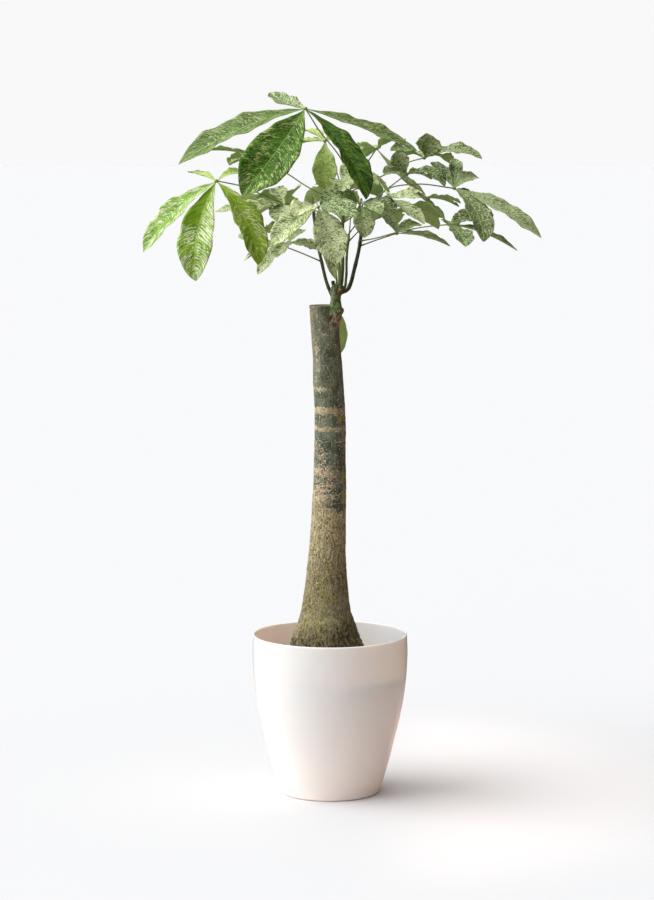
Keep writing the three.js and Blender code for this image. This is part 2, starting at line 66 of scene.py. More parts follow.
FLOOR_FAR = "4a4846"  # and further off
NEAR_TO_FAR = (0.25, 1.3)  # metres


def paint(code):
    """The linear colour of a six-digit screen code, by the screen's own power curve."""
    screen = np.array([int(code[i : i + 2], 16) for i in (0, 2, 4)]) / 255
    linear = np.where(screen <= 0.04045, screen / 12.92, ((screen + 0.055) / 1.055) ** 2.4)
    return (*linear.tolist(), 1.0)


def feed(node, inputs):
    """Gives a node's sockets a value, a colour by its screen code or, from another node's output
    socket, a link."""
    for socket, value in dict(inputs).items():
        if isinstance(value, bpy.types.NodeSocket):
            node.id_data.links.new(value, node.inputs[socket])
        else:
            node.inputs[socket].default_value = paint(value) if isinstance(value, str) else value


def put(tree, kind, inputs=(), **settings):
    """Adds a node. inputs are for its sockets, and settings are the node's own. The helpers below
    put their nodes into the tree of the socket that they are given."""
    made = tree.nodes.new("ShaderNode" + kind)
    for name, value in settings.items():
        setattr(made, name, value)
    feed(made, inputs)
    return made


def calc(operation, first, second=0.0):
    """One step of arithmetic on two values, of which one at least is a socket."""
    tree = (first if isinstance(first, bpy.types.NodeSocket) else second).id_data
    return put(tree, "Math", {0: first, 1: second}, operation=operation).outputs[0]


def times(first, second):
    """The product of two values."""
    return calc("MULTIPLY", first, second)


def rise(value, low, high, bottom=0.0, top=1.0):
    """A smooth step from bottom to top as the value goes from low to high."""
    inputs = {"Value": value, 1: low, 2: high, 3: bottom, 4: top}
    return put(value.id_data, "MapRange", inputs, interpolation_type="SMOOTHSTEP").outputs[0]


def mix(share, first, second):
    """Two colours blended by a share."""
    inputs = {0: share, 6: first, 7: second}
    return put(share.id_data, "Mix", inputs, data_type="RGBA").outputs[2]


def axes(vector):
    """The three values of a vector."""
    return put(vector.id_data, "SeparateXYZ", {0: vector}).outputs


def place_on(tree):
    """The place on the object itself, in metres."""
    return put(tree, "TexCoord").outputs["Object"]


scene = bpy.context.scene
scene.view_settings.view_transform = "Standard"
camera = bpy.data.objects.new("camera", bpy.data.cameras.new("camera"))
camera.data.lens = CAMERA_LENS
camera.data.clip_end = 2 * FLOOR_REACH
camera.location = CAMERA_PLACE
camera.rotation_euler = (np.radians(90 - CAMERA_DIP), 0, 0)
scene.collection.objects.link(camera)
scene.camera = camera

sun = bpy.data.objects.new("soft_sun", bpy.data.lights.new("soft_sun", "SUN"))
sun.data.energy = SUN_STRENGTH
sun.data.color = SUN_COLOUR
sun.data.angle = np.radians(SUN_WIDTH)
sun_level = np.hypot(SUN_PLACE[0], SUN_PLACE[1])
sun.rotation_euler = (np.arctan2(sun_level, SUN_PLACE[2]), 0, np.arctan2(SUN_PLACE[0], -SUN_PLACE[1]))
scene.collection.objects.link(sun)

room = bpy.data.worlds.new("room")
room.use_nodes = True
scene.world = room
air = room.node_tree
air.nodes.clear()
way = axes(put(air, "TexCoord").outputs["Generated"])
walls = mix(rise(way["X"], *ROOM_ACROSS), ROOM_LEFT, ROOM_RIGHT)
walls = mix(rise(way["Z"], *ROOM_UP), walls, ROOM_TOP)
lit_room = put(air, "Background", {"Color": walls, "Strength": ROOM_STRENGTH})
seen_room = put(air, "Background", {"Color": BACKDROP, "Strength": 1.0})
seen = put(air, "LightPath").outputs["Is Camera Ray"]
both = put(air, "MixShader", {0: seen, 1: lit_room.outputs[0], 2: seen_room.outputs[0]})
put(air, "OutputWorld", {"Surface": both.outputs[0]})

floor_mesh = bpy.data.meshes.new("floor")
floor_corners = [(x * FLOOR_REACH, y * FLOOR_REACH, 0) for x, y in ((-1, -1), (1, -1), (1, 1), (-1, 1))]
floor_mesh.from_pydata(floor_corners, [], [(0, 1, 2, 3)])
floor = bpy.data.objects.new("floor", floor_mesh)
scene.collection.objects.link(floor)
pale_floor = bpy.data.materials.new("pale_floor")
pale_floor.use_nodes = True
tree = pale_floor.node_tree
tree.nodes.clear()
where = place_on(tree)
reach = put(tree, "VectorMath", {0: where}, operation="LENGTH").outputs["Value"]
bounce = mix(rise(reach, *NEAR_TO_FAR), FLOOR_NEAR, FLOOR_FAR)
# Painted light: the floor seen by the camera is lighter near the pot on the right, which lifts the plant's
# shadow.
shadow_lift_share = times(rise(axes(where)["X"], *RIGHT_STARTS), rise(reach, *RIGHT_ENDS))
shown = mix(shadow_lift_share, FLOOR_SEEN, FLOOR_SEEN_SHADOW_LIFT)
seen = put(tree, "LightPath").outputs["Is Camera Ray"]
matt = put(tree, "BsdfDiffuse", {"Color": mix(seen, bounce, shown)})
put(tree, "OutputMaterial", {"Surface": matt.outputs[0]})
floor_mesh.materials.append(pale_floor)


# Pot. A tall round cover pot of white plastic, moulded in one piece with a thin wall. It narrows
# in a long curve to a rounded foot, and its skin has a soft gloss.

POT_WALL = 3
POT_FLOOR = 4
POT_FLAT_RADIUS = 84
POT_FILLET = 8
POT_FOOT = [(POT_FLAT_RADIUS, 0), (86.6, 0.9), (88.2, 2.7), (89, 5)]
POT_OUTLINE = [(89, 5), (101, 44), (114.5, 97), (129, 165), (134.5, 212), (136, 250), (135, 278.5)]
POT_ROWS = 90
POT_COLUMNS = 160


def smooth_line(points, count):
    """A smooth line through points, even along their chord: on each stretch the cubic whose slope
    at both ends follows the neighbours."""
    points = np.asarray(points, float)
    steps = np.linalg.norm(np.diff(points, axis=0), axis=1)
    knots = np.concatenate([[0], np.cumsum(steps)])
    slope = np.gradient(points, knots, axis=0)
    at = np.linspace(0, knots[-1], count)
    i = np.clip(np.searchsorted(knots, at, side="right") - 1, 0, len(points) - 2)
    step = steps[i][:, None]
    f = ((at - knots[i]) / steps[i])[:, None]
    start = points[i] * (1 + 2 * f) * (1 - f) ** 2 + slope[i] * step * f * (1 - f) ** 2
    end = points[i + 1] * f**2 * (3 - 2 * f) - slope[i + 1] * step * f**2 * (1 - f)
    return start + end


def together(*values):
    """Values side by side on a new last axis, each spread over the whole grid."""
    return np.stack(np.broadcast_arrays(*values), -1)


def turns(count):
    """Angles evenly round a circle, in radians."""
    return np.linspace(0, 2 * np.pi, count, endpoint=False)


def skin(grid, look=0, **marks):
    """A closed skin on a grid of points: rows run along the piece and columns run round it, and
    each end closes on the mean of its last row. look is the number of its material on the piece,
    and marks are values at the grid's points."""
    rows, columns = grid.shape[:2]
    number = np.arange(rows * columns).reshape(rows, columns)
    right = np.roll(number, -1, axis=1)
    quads = np.stack([number[:-1], right[:-1], right[1:], number[1:]], -1).reshape(-1, 4)
    first = together(right[0], number[0], rows * columns)
    last = together(number[-1], right[-1], rows * columns + 1)

    def with_ends(values):
        values = np.broadcast_to(values, (rows, columns, 3))
        return np.concatenate([values.reshape(-1, 3), values[[0, -1]].mean(1)])

    return {
        "points": with_ends(grid),
        "faces": [quads, first, last],
        "marks": {name: with_ends(values) for name, values in marks.items()},
        "look": look,
    }


def piece(name, parts, looks, replaced, smooth=True):
    """One object of several closed skins. It rides on the part's one body, and stands for the
    solid that it replaces."""
    mesh = bpy.data.meshes.new(name)
    starts = np.cumsum([0] + [len(part["points"]) for part in parts])
    faces = [f + start for part, start in zip(parts, starts) for f in part["faces"]]
    sizes = np.concatenate([np.full(len(f), f.shape[1]) for f in faces])
    look = np.concatenate([np.full(sum(map(len, part["faces"])), part["look"]) for part in parts])
    corners = np.concatenate([f.ravel() for f in faces]).astype(np.int32)
    mesh.vertices.add(starts[-1])
    mesh.vertices.foreach_set("co", np.concatenate([part["points"] for part in parts]).ravel() / 1000)
    mesh.loops.add(len(corners))
    mesh.loops.foreach_set("vertex_index", corners)
    mesh.polygons.add(len(sizes))
    mesh.polygons.foreach_set("loop_start", (np.cumsum(sizes) - sizes).astype(np.int32))
    mesh.polygons.foreach_set("material_index", look.astype(np.int32))
    mesh.update(calc_edges=True)
    for mark in sorted({mark for part in parts for mark in part["marks"]}):
        values = [part["marks"].get(mark, np.zeros_like(part["points"])) for part in parts]
        layer = mesh.attributes.new(mark, "FLOAT_VECTOR", "POINT")
        layer.data.foreach_set("vector", np.concatenate(values).astype(np.float32).ravel())
    for material in looks:
        mesh.materials.append(material)
    if smooth:
        mesh.shade_smooth()
    else:
        mesh.shade_flat()
    made = bpy.data.objects.new(name, mesh)
    scene.collection.objects.link(made)
    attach(made, "root")
    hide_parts(replaced)


def turned(profile, columns):
    """A profile of radius and height pairs turned about the upright axis."""
    radius, height = np.asarray(profile, float).T[..., None]
    angle = turns(columns)
    return together(radius * np.cos(angle), radius * np.sin(angle), height)


def arc(centre, radius, start, stop, count):
    """Points on a quarter or half circle of a profile, angles in degrees."""
    angle = np.radians(np.linspace(start, stop, count))
    return together(centre[0] + radius * np.cos(angle), centre[1] + radius * np.sin(angle))


def new_look(name):
    """A new material, with its tree and its Principled shader."""
    material = bpy.data.materials.new(name)
    material.use_nodes = True
    return material, material.node_tree, material.node_tree.nodes["Principled BSDF"]


def bump(shader, height, strength, distance):
    """Small relief on a shader, from a height, up to a distance in metres."""
    inputs = {"Height": height, "Strength": strength, "Distance": distance}
    feed(shader, {"Normal": put(shader.id_data, "Bump", inputs).outputs[0]})


def grain(place, stretch, detail=3.0, roughness=0.65, distortion=0.0):
    """Noise that keeps near a half, its place multiplied by a stretch along each axis."""
    stretched = put(place.id_data, "VectorMath", {0: place, 1: stretch}, operation="MULTIPLY").outputs[0]
    inputs = {"Vector": stretched, "Scale": 1.0, "Detail": detail, "Roughness": roughness}
    return put(place.id_data, "TexNoise", {**inputs, "Distortion": distortion}).outputs[0]


def new_group(name, inputs, outputs):
    """A node group with named inputs, each with its value, and named outputs. Gives the group,
    the sockets that it is asked by and the node that its results go to."""
    group = bpy.data.node_groups.new(name, "ShaderNodeTree")
    for label, value in inputs.items():
        kind = "NodeSocketVector" if isinstance(value, tuple) else "NodeSocketFloat"
        group.interface.new_socket(label, in_out="INPUT", socket_type=kind).default_value = value
    for label in outputs:
        group.interface.new_socket(label, in_out="OUTPUT", socket_type="NodeSocketFloat")
    return group, group.nodes.new("NodeGroupInput").outputs, group.nodes.new("NodeGroupOutput")


flecks, asked, given = new_group(
    "flecks",
    {"Place": (0, 0, 0), "Stretch": (1, 1, 1), "Level": 0.5, "Softness": 0.05, "Detail": 3.0},
    ["Mask"],
)
fleck_noise = grain(asked["Place"], asked["Stretch"], asked["Detail"], 0.6, 0.3)
fleck_low = calc("SUBTRACT", asked["Level"], asked["Softness"])
fleck_high = calc("ADD", asked["Level"], asked["Softness"])
feed(given, {"Mask": rise(fleck_noise, fleck_low, fleck_high)})


def fleck_mask(place, stretch, level, softness=0.05, detail=3.0):
    """Where a stretched noise rises over a level, with soft edges."""
    inputs = {"Place": place, "Stretch": stretch, "Level": level, "Softness": softness, "Detail": detail}
    return put(place.id_data, "Group", inputs, node_tree=flecks).outputs["Mask"]


white_plastic, tree, shader = new_look("white_plastic")
where = place_on(tree)
uneven = fleck_mask(where, (6, 6, 3), 0.5, 0.35, 1.0)
feed(shader, {"Base Color": mix(uneven, "f0ece7", "f4f0eb"), "Roughness": rise(uneven, 0, 1, 0.17, 0.23)})
feed(shader, {"Subsurface Weight": 0.7, "Subsurface Radius": (1.0, 0.62, 0.45), "Subsurface Scale": 0.012})
bump(shader, grain(where, (900, 900, 900), 1.0, 0.5), 0.05, 0.0002)

pot_side = smooth_line(POT_OUTLINE, POT_ROWS)
pot_rim = pot_side[-1]
pot_inside = pot_side - (POT_WALL, 0)
pot_floor_radius = POT_FLAT_RADIUS - POT_WALL - 1
pot_profile = np.concatenate(
    [
        [(radius, 0) for radius in (2, 30, 60, 80, POT_FLAT_RADIUS)],
        smooth_line(POT_FOOT, 7)[1:-1],
        pot_side[:-1],
        arc((pot_rim[0] - POT_WALL / 2, pot_rim[1]), POT_WALL / 2, 0, 180, 9),
        pot_inside[pot_inside[:, 1] > POT_FLOOR + POT_FILLET + 2][::-1][1:],
        arc((pot_floor_radius, POT_FLOOR + POT_FILLET), POT_FILLET, 0, -90, 7),
        [(radius, POT_FLOOR) for radius in (60, 30, 2)],
    ]
)
piece("pot_shell", [skin(turned(pot_profile, POT_COLUMNS))], [white_plastic], "pot")


# Soil. A dark potting mix of peat and bark fills the pot to 60 mm under the rim. It is lumpy, and
# chips of bark and a few white grains of perlite lie on it, a little sunk in.

SOIL_TOP = 220
SOIL_GAP = 0.7  # to the pot's wall, and to its floor and the trunk by half
SOIL_FOOT_RADII = (2, 60, 79)
SOIL_EDGE = 14  # how wide the stretch is that drops to the wall
SOIL_EDGE_DROP = 6
SOIL_MOUND = 4
SOIL_LUMP = 2.2
SOIL_ROWS = 70
SOIL_COLUMNS = 200
SOIL_HOLE = 159.65  # where the trunk's foot ends in it
CHIPS = 760
CHIP_SIZE = (2.0, 6.0)
CHIP_LIFT = 0.09  # how far its middle lies over the soil, as a share of its size
PERLITE_SHARE = 0.12
PERLITE_SIZE = 0.45  # as a share of a chip's


def cloud(place, seed):
    """Smooth noise from -1 to 1. Random values stand at the whole numbers of a repeating cube, and
    a point takes the smoothstep blend of the eight round it."""
    size = 48
    table = np.random.default_rng(seed).uniform(-1, 1, (size, size, size))
    cell = np.floor(place).astype(int)
    near = place - cell
    near = near * near * (3 - 2 * near)
    total = np.zeros(place.shape[:-1])
    for corner in np.ndindex(2, 2, 2):
        share = np.prod(np.where(corner, near, 1 - near), axis=-1)
        i, j, k = np.moveaxis((cell + corner) % size, -1, 0)
        total += share * table[i, j, k]
    return total


def step_up(value, low, high):
    """A smooth step from 0 to 1 as the value goes from low to high."""
    share = np.clip((value - low) / (high - low), 0, 1)
    return share * share * (3 - 2 * share)


# Height, and where the trunk's left and right edges are.
TRUNK_ROWS = [
    (160, -62, 48), (190, -74, 62), (215, -77, 66), (240, -74, 62), (260, -70, 56),
    (276, -66, 50), (297, -58, 45), (318, -51, 37), (350, -46, 32), (387, -41, 29),
    (430, -36.5, 27.5), (479, -33, 28), (548, -29, 28), (634, -26.5, 27.5), (679, -26.5, 25.5),
    (723, -29, 22.5), (756, -29.5, 20.5), (801, -32.5, 16), (834, -34.5, 15.5), (856, -36, 15),
]
ROOT_SWELL = 0.07
ROOT_TOP = 340


def bole_ring(height, angle):
    """The trunk without its bark: a circle between its left and right edge at each height, whose
    foot swells by a sum of five and three cosine lobes. Gives the middle's X and the radius."""
    heights, lefts, rights = np.array(TRUNK_ROWS).T
    left = np.interp(height, heights, lefts)
    right = np.interp(height, heights, rights)
    low = step_up(ROOT_TOP - height, 0, ROOT_TOP - SOIL_TOP)
    lobes = 0.6 * np.cos(5 * angle + 0.8) + 0.4 * np.cos(3 * angle - 1.2)
    return (left + right) / 2, (right - left) / 2 * (1 + ROOT_SWELL * low * lobes)


def outward(angle):
    """The level way out at an angle."""
    return together(np.cos(angle), np.sin(angle), 0)


turn = turns(SOIL_COLUMNS)
around = outward(turn)[:, :2]
soil_wall = pot_side[pot_side[:, 1] > POT_FLOOR + POT_FILLET]
soil_wall = soil_wall[soil_wall[:, 1] < SOIL_TOP - SOIL_EDGE_DROP]
soil_sides = [(radius, POT_FLOOR + SOIL_GAP / 2) for radius in SOIL_FOOT_RADII]
soil_sides += [(radius - POT_WALL - SOIL_GAP, height) for radius, height in soil_wall[::3]]
soil_reach = soil_sides[-1][0]
inward = np.linspace(1, 0, SOIL_ROWS)[:, None, None]
hole_x, hole_radius = bole_ring(SOIL_TOP + 1.0, turn)
hole = around * (hole_radius[:, None] + SOIL_GAP / 2) + (hole_x, 0)
soil_x, soil_y = np.moveaxis(around * soil_reach * inward + hole * (1 - inward), -1, 0)
soil_radius = np.hypot(soil_x, soil_y)
soil_lumps = cloud(together(soil_x, soil_y, 0) / 9, 3)
soil_lumps += 0.6 * cloud(together(soil_x / 3.4, soil_y / 3.4, 5), 4)
soil_height = SOIL_TOP + SOIL_MOUND * (1 - soil_radius / soil_reach) + SOIL_LUMP * (soil_lumps - 0.6)
soil_height -= SOIL_EDGE_DROP * step_up(soil_radius, soil_reach - SOIL_EDGE, soil_reach)
soil_surface = together(soil_x, soil_y, soil_height)
hole_bottom = soil_surface[-1] * (1, 1, 0) + (0, 0, SOIL_HOLE)
hole_middle = hole_bottom.mean(0) + (hole_bottom - hole_bottom.mean(0)) * 0.1
soil_grid = np.concatenate([turned(soil_sides, SOIL_COLUMNS), soil_surface, [hole_bottom, hole_middle]])

damp_soil, tree, shader = new_look("damp_soil")
where = place_on(tree)
crumb = fleck_mask(where, (420, 420, 420), 0.5, 0.12)
fibre = fleck_mask(where, (900, 260, 300), 0.6, 0.06)
feed(shader, {"Base Color": mix(fibre, mix(crumb, "2a1c13", "4a3424"), "7a5b3c"), "Roughness": 0.95})
bump(shader, crumb, 0.8, 0.0015)
piece("soil_bed", [skin(soil_grid)], [damp_soil], "soil")


def mark_on(tree, name):
    """A mark that a mesh carries at its points, as a vector."""
    return put(tree, "Attribute", attribute_name=name).outputs["Vector"]


bark_chip, tree, shader = new_look("bark_chip")
kind = axes(mark_on(tree, "chip"))
chip_tone = mix(calc("GREATER_THAN", kind["Y"], 0.5), mix(kind["X"], "2c1c12", "7d5a3b"), "cfcabd")
feed(shader, {"Base Color": chip_tone, "Roughness": 0.9})
bump(shader, grain(place_on(tree), (900, 900, 900), 2.0, 0.5), 0.5, 0.0006)


def chips():
    """Small lumps with their own size, turn and place. Each is two rings of six points with an
    end on both, pulled out of shape at random, on the soil between trunk and wall."""
    draw = np.random.default_rng(11)
    grid = outward(turns(6)) + np.array([-0.45, 0.45])[:, None, None] * (0, 0, 1)
    for _ in range(CHIPS):
        row = draw.integers(2, len(soil_surface) - 2)
        middle = soil_surface[row, draw.integers(SOIL_COLUMNS)]
        white = draw.random() < PERLITE_SHARE
        size = draw.uniform(*CHIP_SIZE) * (PERLITE_SIZE if white else 1)
        shape = size * (np.ones(3) if white else draw.uniform((0.6, 0.3, 0.15), (1, 0.6, 0.35)))
        tilt = np.linalg.qr(draw.normal(size=(3, 3)) * (1, 1, 0.35) + np.eye(3))[0]
        tilt *= np.sign(np.linalg.det(tilt))
        points = grid * draw.uniform(0.8, 1.1, grid.shape) * shape / 2 @ tilt.T
        yield skin(points + middle + (0, 0, CHIP_LIFT * size), chip=(draw.random(), float(white), 0))


piece("soil_chips", list(chips()), [bark_chip], "soil", smooth=False)


# Trunk. One straight bole of soft wood, swollen at the foot and sawn off flat. Its bark is smooth
# and grey-green above, ringed and speckled with tan cork half way, and cracked and mossy below.

TRUNK_HEIGHTS = 430
TRUNK_COLUMNS = 168
TRUNK_TOP = 856
CUT_RINGS = np.array([0.968, 0.96, 0.9, 0.8, 0.65, 0.45, 0.25, 0.08])[:, None]  # shares of the radius
CUT_DIP = np.array([0, 0.1, 0.5, 0.7, 0.7, 0.8, 0.9, 1.2])[:, None]
CUT_WOOD = np.array([0.4, 0.7, 1, 1, 1, 1, 1, 1])[:, None]  # how bare the wood is
CORK_LINE = 504  # below this height cork covers all of the bark
# Ragged rings of cork: height, half thickness, how much they cover, and the side they keep to.
CORK_RINGS = [
    (712, 4, 0.62, "left"), (674, 7.5, 0.68, "round"), (643, 5, 0.62, "round"), (766, 3, 0.45, "right"),
    (694, 2, 0.42, "round"), (655, 2.5, 0.44, "round"), (622, 2, 0.5, "round"), (727, 2, 0.42, "round"),
]
SIDES = {"left": -140, "right": -50}  # degrees round the trunk, where the front is -90
# Patches: height, degrees round the trunk, half the height, and half the width in degrees.
PALE_PATCHES = [
    (781, -133, 10, 12), (762, -137, 5, 9), (745, -130, 3, 7), (807, -92, 2.5, 13), (839, -120, 4, 5),
]
YELLOW_PATCHES = [
    (659, -52, 7, 13), (806, -70, 2.5, 7), (842, -150, 7, 9), (560, -35, 16, 9), (520, -30, 20, 11),
]
MOSS_TOP = 470
MOSS_TONGUE = (-100, 385)  # the side and the top of a thick strip of moss at the front
EARTH_TOP = 308
CRACK_HEIGHT = 430


def towards(angle, degrees):
    """How far an angle faces a side, from 1 on it to -1 behind."""
    return np.cos(angle - np.radians(degrees))


def hill(off, half):
    """A smooth hill: 1 in its middle, and down to 0 with the distance off it."""
    return np.exp(-((off / half) ** 2))


def bark_marks(place, height, angle):
    """How much cork, moss and earth the bark carries. Cork comes in rings, in flakes half way and all over
    below, moss low on the front and left, and earth at the soil, which reaches higher up the right side as
    painted shade."""
    broad = cloud(place / 15, 21)
    small = cloud(place / 5, 22)
    right = np.cos(angle)
    cork = 0.28 + 0.14 * step_up(645 - height + 8 * broad, 0, 25) + 0.09 * step_up(600 - height, 0, 30)
    clusters = 0.09 * cloud(place / 12, 25) + 0.10 * cloud(place / (26, 26, 4.5), 27)
    cork += (clusters - 0.07 * right) * step_up(640 - height, 0, 30)
    cork += 0.16 * step_up(690 - height, 0, 30) * (1 - step_up(690 - height, 30, 50))
    for ring, half, cover, side in CORK_RINGS:
        off = np.abs(height - ring + 2.2 * broad + 2.4 * small)
        kept = 1 if side == "round" else step_up(towards(angle, SIDES[side]), 0.2, 0.7)
        cork = np.maximum(cork, cover * kept * (1 - step_up(off, 0.5 * half, 1.6 * half)))
    line = CORK_LINE - 6 * right + 8 * broad + 4 * small
    cork = np.maximum(cork, step_up(line - height, -5, 2))
    side, top = MOSS_TONGUE
    tongue = step_up(towards(angle, side) + 0.01 * small, 0.965, 0.995) * step_up(top - height, 0, 25)
    moss = 0.75 * step_up(cloud(place / (16, 16, 22), 23) - 0.3 * right, 0.0, 0.8)
    moss = np.maximum(moss, tongue) * step_up(MOSS_TOP - height, 0, 100) * step_up(0.75 - right, 0, 0.5)
    # Earth at the soil, and higher up the right side as painted shade.
    earth_and_shade = step_up(EARTH_TOP - height + 12 * cloud(place / (5, 5, 16), 24) + 14 * right, 0, 22)
    return together(cork, moss, earth_and_shade)


def blots(patches, height, angle, ragged):
    """Ragged ovals on the bark, from 0 outside to 1 inside."""
    total = 0
    for middle, degrees, half_height, half_width in patches:
        turn = (np.degrees(angle) - degrees + 180) % 360 - 180
        off = np.hypot((height - middle) / half_height, turn / half_width)
        total = total + 1 - step_up(off + 0.5 * ragged, 0.7, 1.1)
    return total


def bark_relief(place, height, angle):
    """How far the bark stands out in millimetres: slow swellings, small pimples, below the cork
    line scales and upright cracks where a stretched noise crosses zero, and a crumbly foot."""
    low = step_up(CORK_LINE + 6 - height, 0, 60)
    foot = step_up(320 - height, 0, 80)
    relief = 0.7 * cloud(place / (24, 24, 60), 31) + 0.2 * cloud(place / 4, 32)
    crack = 1 - step_up(np.abs(cloud(place / (5, 5, 24), 33)), 0, 0.2)
    relief -= (0.35 + 0.5 * foot) * low * crack
    relief += 0.45 * low * cloud(place / (3.2, 3.2, 4.5), 37)
    relief += foot * (1.9 * cloud(place / (9, 9, 12), 34) + cloud(place / (3, 3, 5), 35))
    crumbs = np.maximum(cloud(place / 3.6, 38) - 0.35, 0)
    relief += 6.0 * step_up(300 - height, 0, 40) * crumbs
    level = CRACK_HEIGHT + 2.5 * cloud(place / 16, 39)
    relief -= 0.9 * hill(height - level, 1.2) * step_up(towards(angle, -90), 0.2, 0.8)
    scar = np.abs((height % 46) - 23 + 3 * cloud(place / 20, 36))
    relief += step_up(height, 236, 250)
    return relief - 0.35 * (1 - low) * (1 - step_up(scar, 0, 2.5)) - 0.9


buried = np.linspace(TRUNK_ROWS[0][0], 230, 16)
above = np.linspace(232, TRUNK_TOP - 1.2, TRUNK_HEIGHTS)
height = np.concatenate([buried, above])[:, None]
angle = turns(TRUNK_COLUMNS)[None]
trunk_x, trunk_radius = bole_ring(height, angle)
smooth_trunk = outward(angle) * trunk_radius[..., None] + together(trunk_x, 0, height)
height = smooth_trunk[..., 2]
trunk_grid = smooth_trunk + outward(angle) * bark_relief(smooth_trunk, height, angle)[..., None]
ragged = cloud(smooth_trunk / 4, 26)
pale = blots(PALE_PATCHES, height, angle, ragged)
# Painted light: paler on the left side high up as a painted highlight, and paler on the right side above
# about 600 mm as painted fill light.
pale += 0.45 * step_up(-np.cos(angle), 0.3, 0.9) * step_up(height, 690, 790)
pale += 0.25 * step_up(np.cos(angle), 0.45, 0.9) * step_up(height, 560, 640)
blots_and_side_light = together(pale, blots(YELLOW_PATCHES, height, angle, ragged), 0)
top_ring = trunk_grid[-1] * (1, 1, 0) + (0, 0, TRUNK_TOP)
top_middle = top_ring.mean(0)
cut_grid = top_middle + (top_ring - top_middle) * CUT_RINGS[..., None] - together(0, 0, CUT_DIP)
no_marks = np.zeros_like(cut_grid)
trunk_skin = skin(
    np.concatenate([trunk_grid, cut_grid]),
    bark=np.concatenate([bark_marks(smooth_trunk, height, angle), no_marks]),
    cut=np.concatenate([np.zeros_like(trunk_grid), no_marks + together(CUT_WOOD, 1 - CUT_RINGS, 0)]),
    blot=np.concatenate([blots_and_side_light, no_marks]),
)


def dots(place, stretch, radius, share):
    """Round dots, one in each cell of a stretched Voronoi pattern, kept in a share of the cells."""
    tree = place.id_data
    stretched = put(tree, "VectorMath", {0: place, 1: stretch}, operation="MULTIPLY").outputs[0]
    cells = put(tree, "TexVoronoi", {"Vector": stretched, "Scale": 1.0}).outputs
    round_dot = rise(cells["Distance"], radius * 1.25, radius * 0.75)
    return times(round_dot, calc("LESS_THAN", axes(cells["Color"])["X"], share))


def cover(colour, *layers):
    """A colour with others laid over it one after another, each by its share."""
    for share, layer in layers:
        colour = mix(share, colour, layer)
    return colour


bark, tree, shader = new_look("pachira_bark")
where = place_on(tree)
marks, cut, blot, neck_marks = (axes(mark_on(tree, name)) for name in ("bark", "cut", "blot", "neck"))
up = axes(where)["Z"]
fine = grain(where, (420, 420, 330), 3.0, 0.7)
medium = grain(where, (170, 170, 120))
broad = grain(where, (60, 60, 34))
drawn = grain(where, (210, 210, 80))
thick_flecks = rise(fine, 0.52, 0.62)
thin_flecks = rise(fine, 0.44, 0.36)
cool = rise(up, 0.7, 0.6)
lenticels = dots(where, (150, 150, 125), 0.18, 0.55)
green_bark = cover(
    mix(rise(broad, 0.4, 0.6), mix(cool, "60674e", "495648"), mix(cool, "8e9278", "76826f")),
    (rise(drawn, 0.46, 0.6, 0.0, 0.5), "4c5440"),
    (times(thick_flecks, 0.6), "3c4234"),
    (times(thin_flecks, 0.4), "b6b69c"),
    (times(lenticels, 0.9), "d3c9ac"),
)

flake = grain(where, (270, 270, 400), 3.0, 0.6)
cork_level = calc("SUBTRACT", 0.98, times(marks["X"], 0.92))
cork_mask = rise(calc("SUBTRACT", flake, cork_level), -0.025, 0.025)
pink = times(fleck_mask(where, (120, 120, 120), 0.53, 0.05), cool)
cork_tone = cover(
    mix(rise(medium, 0.4, 0.6), "a89872", "d3c6a2"),
    (times(thick_flecks, 0.7), "7f6a4c"),
    (times(pink, 0.7), "cda68d"),
)

strokes = grain(where, (240, 240, 130))
pale_strokes = rise(strokes, 0.42, 0.58)
old_tone = mix(rise(broad, 0.46, 0.58, 0.0, 0.7), mix(pale_strokes, "726746", "a0956d"), "8f8770")
low_tone = cover(
    mix(pale_strokes, "a19369", "cabd95"),
    (rise(broad, 0.48, 0.6, 0.0, 0.5), "a2987c"),
    (rise(up, 0.49, 0.36), old_tone),
    (times(thick_flecks, 0.75), "5a4e34"),
    (times(thin_flecks, 0.5), "d2c896"),
)

below_line = rise(up, 0.525, 0.505)
fissure = calc("ABSOLUTE", calc("SUBTRACT", grain(where, (180, 180, 40), 2.0), 0.5))
fissure = times(rise(fissure, 0.022, 0.006), below_line)
pits = dots(where, (190, 190, 150), 0.24, 0.5)
stroke_share = rise(strokes, 0.4, 0.6)
moss_mask = times(marks["Y"], fleck_mask(where, (300, 300, 190), 0.52, 0.05))
# Dark earth at the foot, which also lays painted shade on the right side low down.
earth_and_shade_mask = times(marks["Z"], rise(medium, 0.34, 0.52, 0.35, 1.0))
earth_and_shade_tone = mix(times(thick_flecks, 0.8), mix(stroke_share, "322717", "786d4a"), "1f170e")
blot_flecks = rise(fine, 0.58, 0.46, 0.35, 0.9)
cut_tone = mix(rise(calc("SINE", times(cut["Y"], 60.0)), -1.0, 1.0), "8a7757", "a8946f")
colour = cover(
    mix(cork_mask, green_bark, mix(below_line, cork_tone, low_tone)),
    (times(fissure, 0.6), "463b26"),
    (times(pits, 0.7), "473c28"),
    (times(moss_mask, 0.75), mix(medium, "565b1a", "a8a44c")),
    (earth_and_shade_mask, earth_and_shade_tone),
    # Pale patches, together with the painted highlight on the left side and the painted fill light on the
    # right side.
    (times(blot["X"], blot_flecks), "c6b6a0"),
    (times(blot["Y"], blot_flecks), "a8a455"),
    (neck_marks["Z"], mix(stroke_share, "594a38", "bda88a")),
    (neck_marks["X"], mix(stroke_share, "56703a", "93a86a")),
    (neck_marks["Y"], "581a10"),
    (cut["X"], mix(rise(fine, 0.45, 0.6), cut_tone, "6d5e44")),
)
feed(shader, {"Base Color": colour, "Roughness": 0.82, "Specular IOR Level": 0.3})
relief = calc("ADD", times(cork_mask, 0.5), fine)
bump(shader, calc("SUBTRACT", relief, calc("ADD", pits, fissure)), 0.7, 0.0018)

